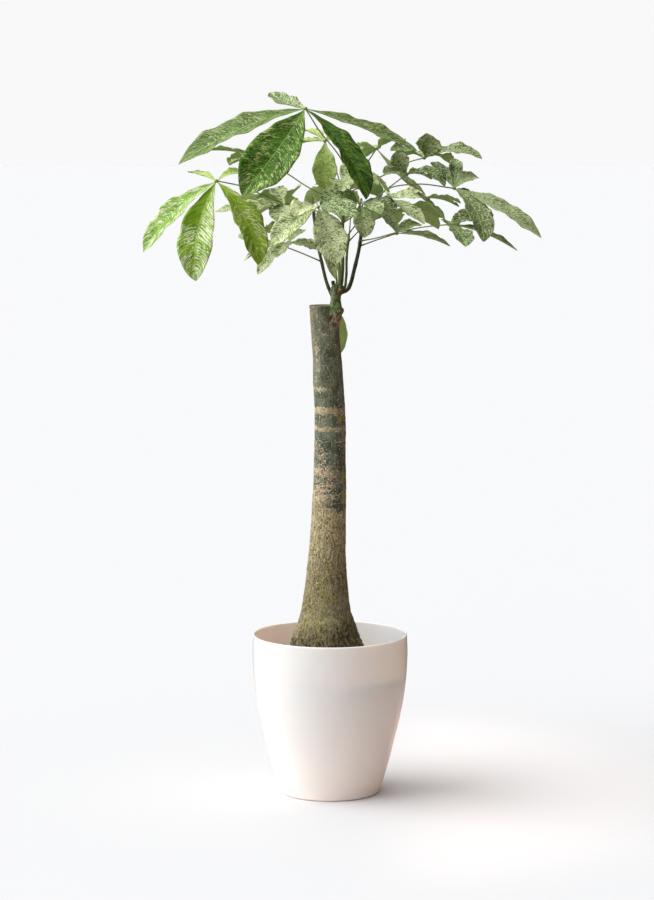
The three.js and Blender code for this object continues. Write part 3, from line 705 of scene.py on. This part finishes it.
# Height, the middle's X and Y, and radius.
NECK_ROWS = [
    (790, 2, -14, 3), (800, 3, -15, 6), (815, 5, -16.5, 9.5), (828, 6.5, -17, 11.4),
    (837, 8, -17.5, 12.6), (846, 9.5, -18, 13.6), (858, 9.6, -17.5, 11.8), (866, 10, -17, 10.4),
]
SHOOT_BASE_ROWS = [
    (857, 9.8, -17, 7), (866.4, 10, -16.5, 7.2), (867.2, 10, -16.3, 9.4), (872, 10.2, -14, 9.4),
    (880, 11, -10, 11.5), (888, 13, -8, 11), (893, 14, -7, 6),
]
NECK_LINE = [(-4, 838), (1, 842), (5, 846), (18, 849), (23, 851)]  # X and height, where its bark ends
SLIT_PLACE = (0.9, 836)  # X and height of a small red slit in it


def limb(rows, count, columns):
    """A round limb that leans, its rows joined by a smooth line. Gives its grid and the way out
    round it."""
    line = smooth_line(rows, count)
    out = outward(turns(columns))
    return line[:, None, [1, 2, 0]] + out * line[:, 3][:, None, None], out


neck, neck_out = limb(NECK_ROWS, 90, 96)
neck_height = neck[..., 2]
neck_line = np.interp(neck[..., 0], *zip(*NECK_LINE)) + 1.2 * cloud(neck / 4, 44)
neck_skin = step_up(neck_height - neck_line, 0, 2.5)
neck_flare = 1.8 * step_up(neck_out[..., 0], 0.0, 0.9) * hill(neck_height - neck_line + 2.5, 3.5)
neck_wave = 0.8 * cloud(neck / (6, 6, 12), 41) + 0.6 * cloud(neck / (2.4, 2.4, 9), 42) - 0.6
slit_up = neck_height - SLIT_PLACE[1]
slit_across = neck[..., 0] - SLIT_PLACE[0] - 0.4 * slit_up
slit = (1 - step_up(np.abs(slit_across), 1.4, 2.8)) * (1 - step_up(np.abs(slit_up), 4.5, 6.5))
slit *= neck_out[..., 1] < 0
neck_push = (1 - neck_skin) * neck_wave + neck_flare - 1.6 * neck_skin - 1.6 * slit
neck = neck + neck_out * neck_push[..., None]
neck_wood = step_up(neck_height, 808, 830) * (1 - neck_skin) * (0.75 + 0.25 * cloud(neck / 4, 43))
neck_bark = together(0.32 + 0.2 * cloud(neck / 7, 45), 0, 0)
neck_looks = np.clip(together(neck_skin, slit, neck_wood), 0, 1)
trunk_parts = [trunk_skin, skin(neck, bark=neck_bark, neck=neck_looks)]
piece("trunk_bole", trunk_parts, [bark], "trunk")


# Shoot. The living side shoot: a short green base on the neck, ringed with red-brown bud scars and
# with one pale bud, and seven stems. One is nearly black, and one was cut off short and has turned
# black at its end.

# Radius, tone from dark to light green, below 0 towards black, and the points it runs through.
STEMS = [
    (2.7, 0.1, [(5, -12, 869), (-4.5, -9, 892), (-15, -10, 934), (-20, -16, 956), (-30, -30, 1030)]),
    (3, 0.25, [(18, -6, 878), (22, 0, 927), (21, 1, 962), (22, 1, 1003), (23, 0, 1050)]),
    (3.2, -0.5,
     [(19, -7, 878), (31, -4.5, 884), (34, -4, 890), (42, 2, 918), (51, 7, 958), (57, 12, 1022)]),
    (2.2, 0.2, [(16, -3, 878), (25, 1, 886), (27.5, 6, 900), (29, 12, 941), (33, 18, 975)]),
    (2.6, 0.95, [(14, -8, 880), (16, -11, 900), (15, -11, 940), (12, -14, 990)]),
    (1.6, 0.6, [(11, -3, 880), (11, 6, 905), (3, 22, 940), (-6, 34, 985)]),
    (3.2, 0.5, [(8, -13, 873), (5, -14, 899)]),
]
STEM_COLUMNS = 16
SCAR_HEIGHTS = (868, 881)  # a ring round the base, and a patch at the bud
BUD_PLACE = (17.5, 884)  # X and height


def unit(vector):
    """Vectors made one long."""
    return vector / np.linalg.norm(vector, axis=-1, keepdims=True)


def tube(line, radius, columns):
    """A round tube on a line: circles across it, turned by one fixed direction that the line
    never runs along."""
    along = unit(np.gradient(line, axis=0))
    fixed = np.eye(3)[np.abs(along).max(0).argmin()]
    side = unit(np.cross(along, fixed))
    other = np.cross(along, side)
    angle = turns(columns)[:, None]
    ring = side[:, None] * np.cos(angle) + other[:, None] * np.sin(angle)
    return line[:, None] + ring * np.broadcast_to(radius, len(line))[:, None, None]


green_stem, tree, shader = new_look("green_stem")
where = place_on(tree)
stem = axes(mark_on(tree, "stem"))
streak = fleck_mask(where, (700, 700, 90), 0.5, 0.1)
tone = cover(
    mix(stem["X"], "2d3a1a", "93aa54"),
    (times(streak, 0.4), "a9b77c"),
    (times(stem["Y"], fleck_mask(where, (300, 300, 500), 0.45, 0.08)), "8c3d26"),
    (put(tree, "Attribute", attribute_name="bud").outputs["Fac"], "e8b088"),
    # Black at the cut stem's end and on the nearly black stem, and painted shade in the shoot base's
    # grooves.
    (stem["Z"], "1b1712"),
)
feed(shader, {"Base Color": tone, "Roughness": 0.4})
bump(shader, streak, 0.3, 0.0005)


def stem_skin(radius, tone, points):
    """A stem that thins a little upwards and swells at each joint, with a closed round end. One
    of two points only is cut off flat, and its end is black."""
    count = 10 + 14 * len(points)
    share = np.linspace(0, 1, count)
    cut_short = len(points) == 2
    joint = 0.12 * hill(share * 4 % 1 - 0.5, 0.1)
    thick = radius * (1.08 - 0.16 * share + joint)
    thick[-3:] *= (1, 1, 0.96) if cut_short else (0.97, 0.8, 0.35)
    red = 0.2 * (1 - step_up(share, 0, 0.12)) + 1.2 * joint
    black = step_up(share, 0.72, 0.8) if cut_short else max(0, -tone) * (1 - 0.5 * share)
    grid = tube(smooth_line(points, count), thick, STEM_COLUMNS)
    return skin(grid, stem=together(tone + 0.15 * share, red, black)[:, None])


base, base_out = limb(SHOOT_BASE_ROWS, 60, 64)
base_height = base[..., 2]
base_front = base_out[..., 1] < 0
base_ribs = np.cos(7 * np.arctan2(base_out[..., 1], base_out[..., 0]) + 1.2)
base_ribs = step_up(base_height, 870, 882) * base_ribs
base = base + base_out * (0.6 * cloud(base / 5, 51) + 0.8 * base_ribs - 0.6)[..., None]
base_x = base[..., 0]
scar = 0.9 * hill(base_height - SCAR_HEIGHTS[0] - 0.15 * base_x, 1.6)
scar += hill(base_height - SCAR_HEIGHTS[1], 4.5) * hill(base_x - 18, 5) * base_front
bud = hill(base_height - BUD_PLACE[1], 2.2) * hill(base_x - BUD_PLACE[0], 2.6) * base_front
# Painted shade in the grooves between the ribs, with random darker spots.
groove_shade_and_spots = 0.75 * step_up(-base_ribs, 0.2, 0.9) + 0.2 * step_up(cloud(base / 4, 53), 0.3, 0.6)
base_marks = together(0.3 + 0.2 * cloud(base / 4, 52), scar, groove_shade_and_spots * (1 - scar))
shoot_parts = [skin(base, stem=np.clip(base_marks, 0, 1), bud=np.clip(1.3 * bud, 0, 1)[..., None])]
shoot_parts += [stem_skin(*stem_row) for stem_row in STEMS]
piece("side_shoot", shoot_parts, [green_stem], "shoot")


# Leaves. Each is palmate: a thin stalk, a small knob, and three to six blades that hang from it.
# A blade folds up from its midrib, waves at its edge, and is quilted by pairs of side veins. The
# top leaf is deep green, the left one yellow-green, and the others are pale or mottled.

# Name, the looks of the blades in turn, the way the upper side looks, the stalk's points, and the
# blades: tip, width, how far the middle of the midrib stands off the straight line, upwards where
# it is one number, and for a blade that turns the way its own upper side looks.
LEAVES = [
    ["top", "mottled streaked deep dark streaked", (-0.1, -0.55, 0.83),
     [(23, 0, 1046), (27, -2, 1083), (-23, -25, 1163), (-42, -40, 1194)],
     ((-105, 92, 1222), 40, -5, (-0.1, -0.25, 0.97)),
     ((-259, -30, 1099), 62, (-5, -4, 12), (-0.33, -0.55, 0.76)),
     ((-147, -165, 1050), 88, (4, -12, 0), (-0.1, -0.95, 0.3)),
     ((60, -160, 1043), 62, (14, -10, 9), (0.62, -0.66, 0.41)),
     ((149, -20, 1122), 50, (2, -2, 4), (0.3, -0.36, 0.88))],
    ["left", "white bright yellow lime lime", (-0.15, -0.55, 0.82),
     [(21, 0, 994), (-37, -12, 1024), (-82, -30, 1034), (-152, -90, 1064), (-191, -120, 1073)],
     ((-313, -140, 955), 50, (-8, -6, 9), (-0.52, -0.66, 0.54)),
     ((-223, -190, 909), 62, (-14, -8, 0), (-0.1, -0.95, 0.3)),
     ((-120, -175, 935), 56, (14, -6, 7), (0.54, -0.79, 0.26)), ((-118, -20, 1071), 32, 15),
     ((-243, -20, 1086), 26, 3, (0, -0.1, 1))],
    ["upper_middle", "lime", (0, -0.3, 0.95), [(22, 1, 1024), (18, 22, 1062), (-9, 25, 1138)],
     ((-9, -5, 1055), 44, (0, -10, 0), (0, -1, 0.1)), ((-46, 100, 1156), 30, 5, (0, 0, 1)),
     ((-66, 60, 1128), 28, 5), ((34, 98, 1120), 36, 10)],
    # Blades here that face the front take the lighter copy of mottled, as painted light.
    ["right_top", "light_mottled mottled light_mottled mottled mottled", (0.1, -0.3, 0.94),
     [(23, 2, 1045), (85, 36, 1075), (107, 52, 1085), (139, 50, 1102), (163, 30, 1109)],
     ((165, -8, 1152), 48, (7, 0, 0), (-0.1, -0.9, 0.35)),
     ((262, 15, 1108), 40, (0, -4, 14), (0, -0.4, 0.9)), ((104, -5, 1122), 38, 6),
     ((212, 150, 1098), 42, 10, (0.2, 0.2, 0.95)), ((122, 155, 1104), 40, 10, (0, 0.2, 0.95))],
    ["right_inner", "mottled light_mottled", (0.1, -0.4, 0.9),
     [(22, 0, 998), (41, -3, 1010), (82, -6, 1044), (132, -10, 1082)],
     ((196, -40, 1062), 38, (5, -3, 14), (0.27, -0.47, 0.83)),
     ((116, -30, 1122), 34, (-3, -2, 0), (-0.2, -0.95, 0.1)), ((92, -62, 1082), 32, 5),
     ((176, 44, 1072), 34, 6)],
    ["back_left", "mottled", (-0.2, 0.1, 0.97),
     [(22, 1, 1030), (-38, 15, 1059), (-71, 30, 1080), (-118, 50, 1108)],
     ((-216, 65, 1122), 34, 6), ((-172, 0, 1098), 32, 6), ((-178, 165, 1094), 42, 12),
     ((-72, -8, 1084), 34, 6), ((-86, 160, 1100), 42, 12)],
    ["back_right", "light_mottled", (0.1, 0.1, 0.98), [(23, 1, 1037), (50, 36, 1078), (81, 60, 1125)],
     ((128, 125, 1132), 40, 10), ((34, 30, 1112), 34, 4), ((118, 8, 1142), 32, 5),
     ((164, -18, 1046), 28, (-3, 0, -5), (0.5, -0.45, 0.74)), ((62, 165, 1108), 44, 12)],
    ["right", "mottled mottled light_mottled light_mottled mottled mottled", (0.2, -0.5, 0.84),
     [(29, 0, 975), (46, -6, 997), (75, -16, 1031), (96, -22, 1055), (144, -26, 1065), (213, -20, 1058)],
     ((176, 34, 1102), 28, 4), ((220, 66, 1107), 26, 4), ((256, 38, 1076), 30, 8),
     ((362, -30, 974), 48, (4, -4, 8), (0.42, -0.5, 0.755)), ((284, 44, 1008), 38, 6),
     ((258, -125, 971), 50, (12, -8, 6), (0.46, -0.85, 0.25))],
    ["right_low", "mottled", (0.2, -0.5, 0.84),
     [(54, 6, 967), (77, -16, 972), (114, -38, 983), (158, -60, 993), (202, -70, 998)],
     ((144, -150, 1053), 26, (0, -2, 4), (0.3, -0.5, 0.8)), ((254, -30, 1006), 36, 6),
     ((226, -165, 965), 42, (4, -8, 4), (0.3, -0.8, 0.5)),
     ((320, -50, 953), 34, (0, -2, 9), (0.1, -0.2, 0.97)), ((216, 34, 988), 38, 8, (0, 0.2, 0.97))],
    ["right_small", "light_mottled", (0.1, -0.3, 0.94), [(52, 7, 958), (77, 8, 967), (115, 2, 980)],
     ((158, 42, 994), 34, 5), ((207, 6, 958), 32, (0, -2, 7)), ((78, 30, 1024), 34, (2, 0, 4)),
     ((122, 92, 990), 36, 8)],
    ["right_back", "light_mottled", (0.2, 0.2, 0.95), [(57, 12, 1010), (105, 24, 1046), (165, 30, 1040)],
     ((228, 64, 1030), 22, 6), ((172, 118, 1038), 30, 2, (0, 0, 1)), ((222, 0, 1026), 34, 6),
     ((112, 80, 1040), 28, 2, (0, 0, 1))],
    ["front", "pale pale pale pale mottled", (-0.1, -0.75, 0.65),
     [(-30, -30, 1026), (-28, -80, 1046), (-20, -140, 1030)],
     ((11, -195, 937), 58, (2, -10, 4)), ((-96, -190, 968), 44, (-4, -6, 6)),
     ((9, -120, 908), 24, (0, 8, 0)), ((-60, -225, 1018), 42, (0, -4, 8)),
     ((44, -215, 1016), 40, (0, -4, 8))],
    ["left_inner", "pale", (-0.1, -0.4, 0.9), [(-30, -30, 1018), (-50, -42, 1026), (-77, -62, 1031)],
     ((-197, -12, 1018), 36, 2), ((-142, -120, 1020), 42, (0, -4, 6)), ((-50, -104, 1064), 34, 4),
     ((-88, -140, 1004), 40, (0, -6, 6)), ((-96, 10, 1058), 32, 4)],
    ["left_low", "pale", (-0.2, -0.4, 0.9), [(-20, -15, 953), (-45, -38, 964), (-72, -45, 966)],
     ((-14, -54, 953), 32, 4), ((-46, 6, 986), 28, 3),
     ((-124, -48, 912), 32, (-3, -4, 4), (-0.4, -0.7, 0.6)), ((-148, -8, 934), 34, 7),
     ((-90, -104, 944), 38, (0, -4, 7))],
    ["left_back", "pale", (-0.2, 0.3, 0.93),
     [(-15, -10, 932), (-54, 0, 948), (-81, 5, 958), (-113, 12, 970), (-129, 15, 977)],
     ((-124, 122, 962), 42, 12), ((-96, 128, 972), 44, 12), ((-66, 86, 982), 38, 8),
     ((-150, -50, 972), 30, 5)],
    ["front_right", "pale mottled light_mottled mottled", (0.15, -0.7, 0.7),
     [(57, 12, 1020), (54, -36, 1040), (50, -100, 1035)],
     ((57, -155, 979), 38, (2, -8, 2)), ((112, -150, 1020), 38, (0, -4, 7)),
     ((4, -112, 1046), 36, (0, -2, 7)), ((84, -195, 1020), 36, (0, -4, 7))],
    ["middle", "pale", (0, -0.5, 0.86), [(23, 0, 1043), (14, -16, 1056), (18, -50, 1070)],
     ((-8, -96, 1016), 38, (0, -4, 4)), ((22, -150, 1056), 44, (0, -6, 9)),
     ((82, -104, 1066), 40, (0, -4, 9)), ((46, -14, 1096), 38, 4)],
    ["right_front", "pale", (0.15, -0.5, 0.85), [(57, 12, 1008), (72, -36, 1018), (101, -100, 1043)],
     ((158, -150, 1002), 32, (0, -2, 4)), ((160, -92, 1046), 34, 4), ((108, -185, 1046), 36, (0, -2, 7)),
     ((78, -140, 1080), 28, 4)],
    # Its look is lightened as painted light shining through from behind.
    ["behind_trunk", "faint", (0.1, 0.9, 0.4),
     [(18, 2, 884), (18, 26, 884), (15, 42, 866), (14, 48, 850)],
     ((17, 64, 766), 30, (0, 8, 2)), ((-12, 78, 778), 30, (0, 8, 2)), ((2, 118, 812), 32, (0, 4, 10))],
    ["back", "pale", (0, 0.5, 0.86), [(33, 18, 972), (36, 60, 1016), (30, 140, 1050)],
     ((-44, 190, 1018), 46, 12), ((24, 255, 990), 54, (0, 4, 14)), ((92, 196, 1036), 46, 12),
     ((96, 110, 1066), 34, 6), ((-26, 96, 1062), 34, 6)],
    ["back_far_left", "pale", (-0.3, 0.5, 0.8), [(-6, 34, 982), (-30, 76, 1016), (-84, 130, 1030)],
     ((-175, 140, 1012), 44, 10), ((-150, 220, 986), 50, (0, 4, 12)), ((-72, 240, 992), 48, (0, 4, 12)),
     ((-130, 66, 1040), 34, 6)],
    ["back_low", "mottled", (0.3, 0.5, 0.8), [(33, 18, 966), (60, 66, 990), (110, 140, 1012)],
     ((204, 165, 1000), 44, 10), ((196, 235, 978), 50, (0, 4, 12)), ((110, 262, 982), 48, (0, 4, 12)),
     ((60, 222, 992), 38, 8)],
]
STALK_RADIUS = 1.3
STALK_COLUMNS = 10
KNOB_RADIUS = 3.2
KNOB_COLUMNS = 12
HUB_RADIUS = 3.5
BLADE_ROWS = 64
BLADE_COLUMNS = 19
BLADE_THICKNESS = 0.9
MIDRIB_THICKNESS = 0.9  # added to it
BLADE_WIDEST = 0.6
BLADE_TIP_POWER = 0.8
BLADE_ROOT_HALF = 1.2
BLADE_TIP_HALF = 0.6
BLADE_FOLD = np.radians(16)
EDGE_WAVES = 2.5
EDGE_WAVE_SHARE = 0.045  # of the width
EDGE_WAVE_TURN = 1.7  # from one blade to the next
RUFFLES = 6.3
RUFFLE_SHARE = 0.022  # of the width
SIDE_VEINS = 13
VEIN_SWEEP = 0.13  # how far a side vein runs on towards the tip, as a share of the length
QUILT = 0.55


def both_sides(values):
    """Values on the upper side of a blade, and again on the way back along the lower side."""
    return np.concatenate([values, values[:, ::-1]], 1)


def blade_skin(hub, blade, face, number, lot, look):
    """A blade. Its midrib is an arc from the hub to the tip. Half its width goes up with a power
    of the share along it to the widest place and down with another to the tip. Each half lifts
    by the fold's angle, waves as a sine along the edge, and dips along each side vein."""
    tip, width, bow, *own_face = blade
    if isinstance(bow, int):
        bow = (0, 0, bow)
    hub, tip = np.array(hub, float), np.array(tip, float)
    chord = unit(tip - hub)
    start = hub + chord * HUB_RADIUS / 2
    face = np.array(own_face[0] if own_face else face, float)
    face = unit(face - face.dot(chord) * chord)
    middle = (start + tip) / 2 + 2 * np.array(bow, float)
    t = np.linspace(0, 1, BLADE_ROWS)[:, None]
    rib = (1 - t) ** 2 * start + 2 * t * (1 - t) * middle + t**2 * tip
    along = unit((1 - t) * (middle - start) + t * (tip - middle))
    side = unit(np.cross(along, face))
    out = np.cross(side, along)
    length = np.linalg.norm(np.diff(rib, axis=0), axis=1).sum()
    power = BLADE_TIP_POWER * BLADE_WIDEST / (1 - BLADE_WIDEST)
    shape = (t / BLADE_WIDEST) ** power * ((1 - t) / (1 - BLADE_WIDEST)) ** BLADE_TIP_POWER
    shape *= 1 + 0.035 * np.sin(21 * t + 5 * lot)
    half = np.maximum(BLADE_ROOT_HALF + (BLADE_TIP_HALF - BLADE_ROOT_HALF) * t, width / 2 * shape)
    across = np.linspace(-1, 1, BLADE_COLUMNS)
    across = np.sign(across) * np.abs(across) ** 1.3
    reach = np.abs(across)
    wave = EDGE_WAVE_SHARE * width * np.sin(2 * np.pi * EDGE_WAVES * t + number * EDGE_WAVE_TURN)
    ruffle = RUFFLE_SHARE * width * np.sin(2 * np.pi * RUFFLES * t + 9 * lot + 2 * across) * reach**3
    vein_bend = 0.012 * np.sin(17 * t + 7 * lot + 3 * (across > 0))
    vein = SIDE_VEINS * (t - VEIN_SWEEP * reach**1.5 + vein_bend)
    groove = (0.5 + 0.5 * np.cos(2 * np.pi * vein)) ** 3
    full = np.minimum(half / 12, 1)
    lift = half * np.sin(BLADE_FOLD) * reach**1.2 + (across * wave + ruffle) * (half / width) * 2
    lift -= QUILT * full * groove * np.sin(np.pi * reach**0.8)
    thick = BLADE_THICKNESS * (1 - 0.6 * reach**4) + MIDRIB_THICKNESS * full * hill(reach * half, 1.1)
    flat = rib[:, None] + side[:, None] * (across * half * np.cos(BLADE_FOLD))[..., None]
    upper = flat + out[:, None] * lift[..., None]
    lower = flat + out[:, None] * (lift - thick)[..., None]
    return skin(
        np.concatenate([upper, lower[:, ::-1]], 1),
        look,
        flow=both_sides(together(vein / SIDE_VEINS * length, across * half, 300 * lot)),
        leaf=both_sides(together(vein, reach * half, lot)),
        face=np.concatenate([together(0, t, reach), together(1, t, reach)[:, ::-1]], 1),
    )


def stalk_skin(points, look):
    """A leaf stalk, thicker for a short way at both ends."""
    count = 12 + 9 * len(points)
    share = np.linspace(0, 1, count)
    line = smooth_line(points, count)
    way = share * np.linalg.norm(np.diff(line, axis=0), axis=1).sum()
    thick = STALK_RADIUS * (0.85 + 0.55 * np.exp(-way / 6) + 0.4 * np.exp(-(way[-1] - way) / 5))
    return skin(tube(line, thick, STALK_COLUMNS), look, stem=together(0.35 + 0.4 * share, 0, 0)[:, None])


def knob_skin(centre, look):
    """The small round knob that the blades grow from."""
    share = np.linspace(-0.97, 0.97, 9)
    line = np.array(centre) + share[:, None] * (0, 0, KNOB_RADIUS)
    return skin(tube(line, KNOB_RADIUS * np.sqrt(1 - share**2), KNOB_COLUMNS), look, stem=(0.8, 0, 0))


vein_lines, asked, given = new_group("vein_lines", {"Leaf": (0, 0, 0)}, ["Midrib", "Side Veins"])
spot = axes(asked["Leaf"])
pace = calc("FRACT", calc("ADD", spot["X"], 0.5))
off = calc("ABSOLUTE", calc("SUBTRACT", pace, 0.5))
feed(given, {"Midrib": rise(spot["Y"], 1.3, 0.4), "Side Veins": rise(off, 0.09, 0.02)})


# How a leaf's pale flecks are stretched along and across its side veins: streaks, or round specks.
STREAKY = ((0.42, 0.11, 1), (0.8, 0.28, 1))
SPECKLED = ((0.3, 0.24, 1), (0.55, 0.42, 1))
BOLD = ((0.34, 0.11, 1), (0.6, 0.25, 1))


def leaf_look(name, colours, level, patch, core, specks, gloss, pattern=STREAKY, stripes=0.0):
    """A leaf's look: flecks of cream over two greens, and the underside's colour, which is the paler
    underside lightened further as painted light coming through the blade. level is where place to place,
    and core adds green at the midrib. specks is how strong the fine dark specks are. stripes draws white
    lines on one half and leaves the root of the other half green. The thin blade lets light through."""
    green, light_green, cream, lit_underside = colours.split()
    material, tree, shader = new_look(name)
    flow = mark_on(tree, "flow")
    across = axes(flow)["Y"]
    spot = mark_on(tree, "leaf")
    leaf = axes(spot)
    face = axes(mark_on(tree, "face"))
    lines = put(tree, "Group", {"Leaf": spot}, node_tree=vein_lines).outputs
    broad = grain(flow, (0.05, 0.07, 1))
    uneven = times(calc("SUBTRACT", broad, 0.5), -patch)
    middle = times(rise(face["Z"], 0.75, 0.1), core)
    own = times(calc("SUBTRACT", leaf["Z"], 0.5), 0.05)
    root = times(rise(face["Y"], 0.5, 0.3), rise(across, -1.0, 2.0))
    here = calc("ADD", calc("ADD", uneven, middle), calc("ADD", own, level))
    here = calc("ADD", here, times(root, 0.2 * stripes))
    streaks = fleck_mask(flow, pattern[0], here, 0.012)
    dashes = fleck_mask(flow, pattern[1], calc("ADD", here, 0.03), 0.015, 2.0)
    pace = calc("FRACT", times(leaf["X"], 2.4))
    stripe = rise(calc("ABSOLUTE", calc("SUBTRACT", pace, 0.5)), 0.26, 0.36)
    stripe = times(stripe, rise(across, -2.0, -5.0, 0.0, stripes))
    stripe = times(stripe, rise(broad, 0.4, 0.5))
    pale = calc("MAXIMUM", calc("MAXIMUM", streaks, dashes), stripe)
    elsewhere = put(tree, "VectorMath", {0: flow, 1: (0, 0, 40)}, operation="ADD").outputs[0]
    dark = fleck_mask(elsewhere, pattern[1], 0.545, 0.015, 2.0)
    colour = cover(
        mix(fleck_mask(flow, (0.16, 0.05, 1), 0.5, 0.12), green, light_green),
        (times(lines["Side Veins"], 0.35), light_green),
        (times(pale, 0.92), cream),
        (times(dark, specks), green),
        (times(lines["Midrib"], 0.6), lit_underside),
        # The underside: its paler tone, lightened as painted light through the blade.
        (times(face["X"], 0.7), lit_underside),
    )
    feed(shader, {"Base Color": colour, "Roughness": rise(face["X"], 0, 1, gloss, 0.62)})
    feed(shader, {"Specular IOR Level": 0.16, "Subsurface Weight": 0.25})
    feed(shader, {"Subsurface Radius": (0.7, 1.0, 0.2), "Subsurface Scale": 0.0015})
    bump(shader, calc("SUBTRACT", times(pale, 0.25), lines["Side Veins"]), 0.35, 0.0006)
    return material


# What leaf_look asks for.
LEAF_COLOURS = {
    "deep": ("2b4c08 4a7a16 c0cb7c 94b056", 0.575, 0.35, 0.02, 0.3, 0.45),
    "dark": ("1b3804 38660a 7a9432 6d8f36", 0.585, 0.3, 0.02, 0.6, 0.6),
    "streaked": ("3a581a 5f7a32 b2ba84 96ac6a", 0.56, 0.3, 0.02, 0.4, 0.5),
    "bright": ("648c12 87aa28 dee6ba a8c860", 0.58, 0.3, 0.03, 0.0, 0.36, STREAKY, 1.0),
    "white": ("5f8a1c 84a636 d7dfb8 a9c070", 0.545, 0.5, 0.04, 0.0, 0.4),
    "yellow": ("74951a 96b332 dde4ac a9c25a", 0.57, 0.5, 0.04, 0.1, 0.42),
    "lime": ("8ba942 aec664 d4e0a2 b8cc7c", 0.555, 0.2, 0.02, 0.35, 0.5, SPECKLED),
    # Very light colours: painted light for the blade behind the trunk, as if lit through from behind.
    "faint": ("7fa23c c2e680 e6f6b4 d0f090", 0.47, 0.1, 0.02, 0.6, 0.5, SPECKLED),
    "mottled": ("40531a 5b6e32 bcc79a 9cc474", 0.535, 0.15, 0.01, 0.4, 0.5, SPECKLED),
    # A lighter copy of mottled: painted light for blades that get little light.
    "light_mottled": ("59702c 788c4a c8d2a4 a6cc80", 0.51, 0.15, 0.01, 0.4, 0.5, SPECKLED),
    "pale": ("486420 7a964a e0e6b4 a8ca84", 0.475, 0.3, 0.01, 0.7, 0.5, BOLD),
}
leaf_looks = {name: leaf_look(name + "_leaf", *row) for name, row in LEAF_COLOURS.items()}

lots = np.random.default_rng(7)
for name, look_names, face, stalk, *blades in LEAVES:
    looks = [leaf_looks[look] for look in look_names.split()]
    parts = [stalk_skin(stalk, len(looks)), knob_skin(stalk[-1], len(looks))]
    for number, blade in enumerate(blades):
        parts.append(blade_skin(stalk[-1], blade, face, number, lots.random(), number % len(looks)))
    piece(f"leaf_{name}_fine", parts, [*looks, green_stem], f"leaf_{name}")
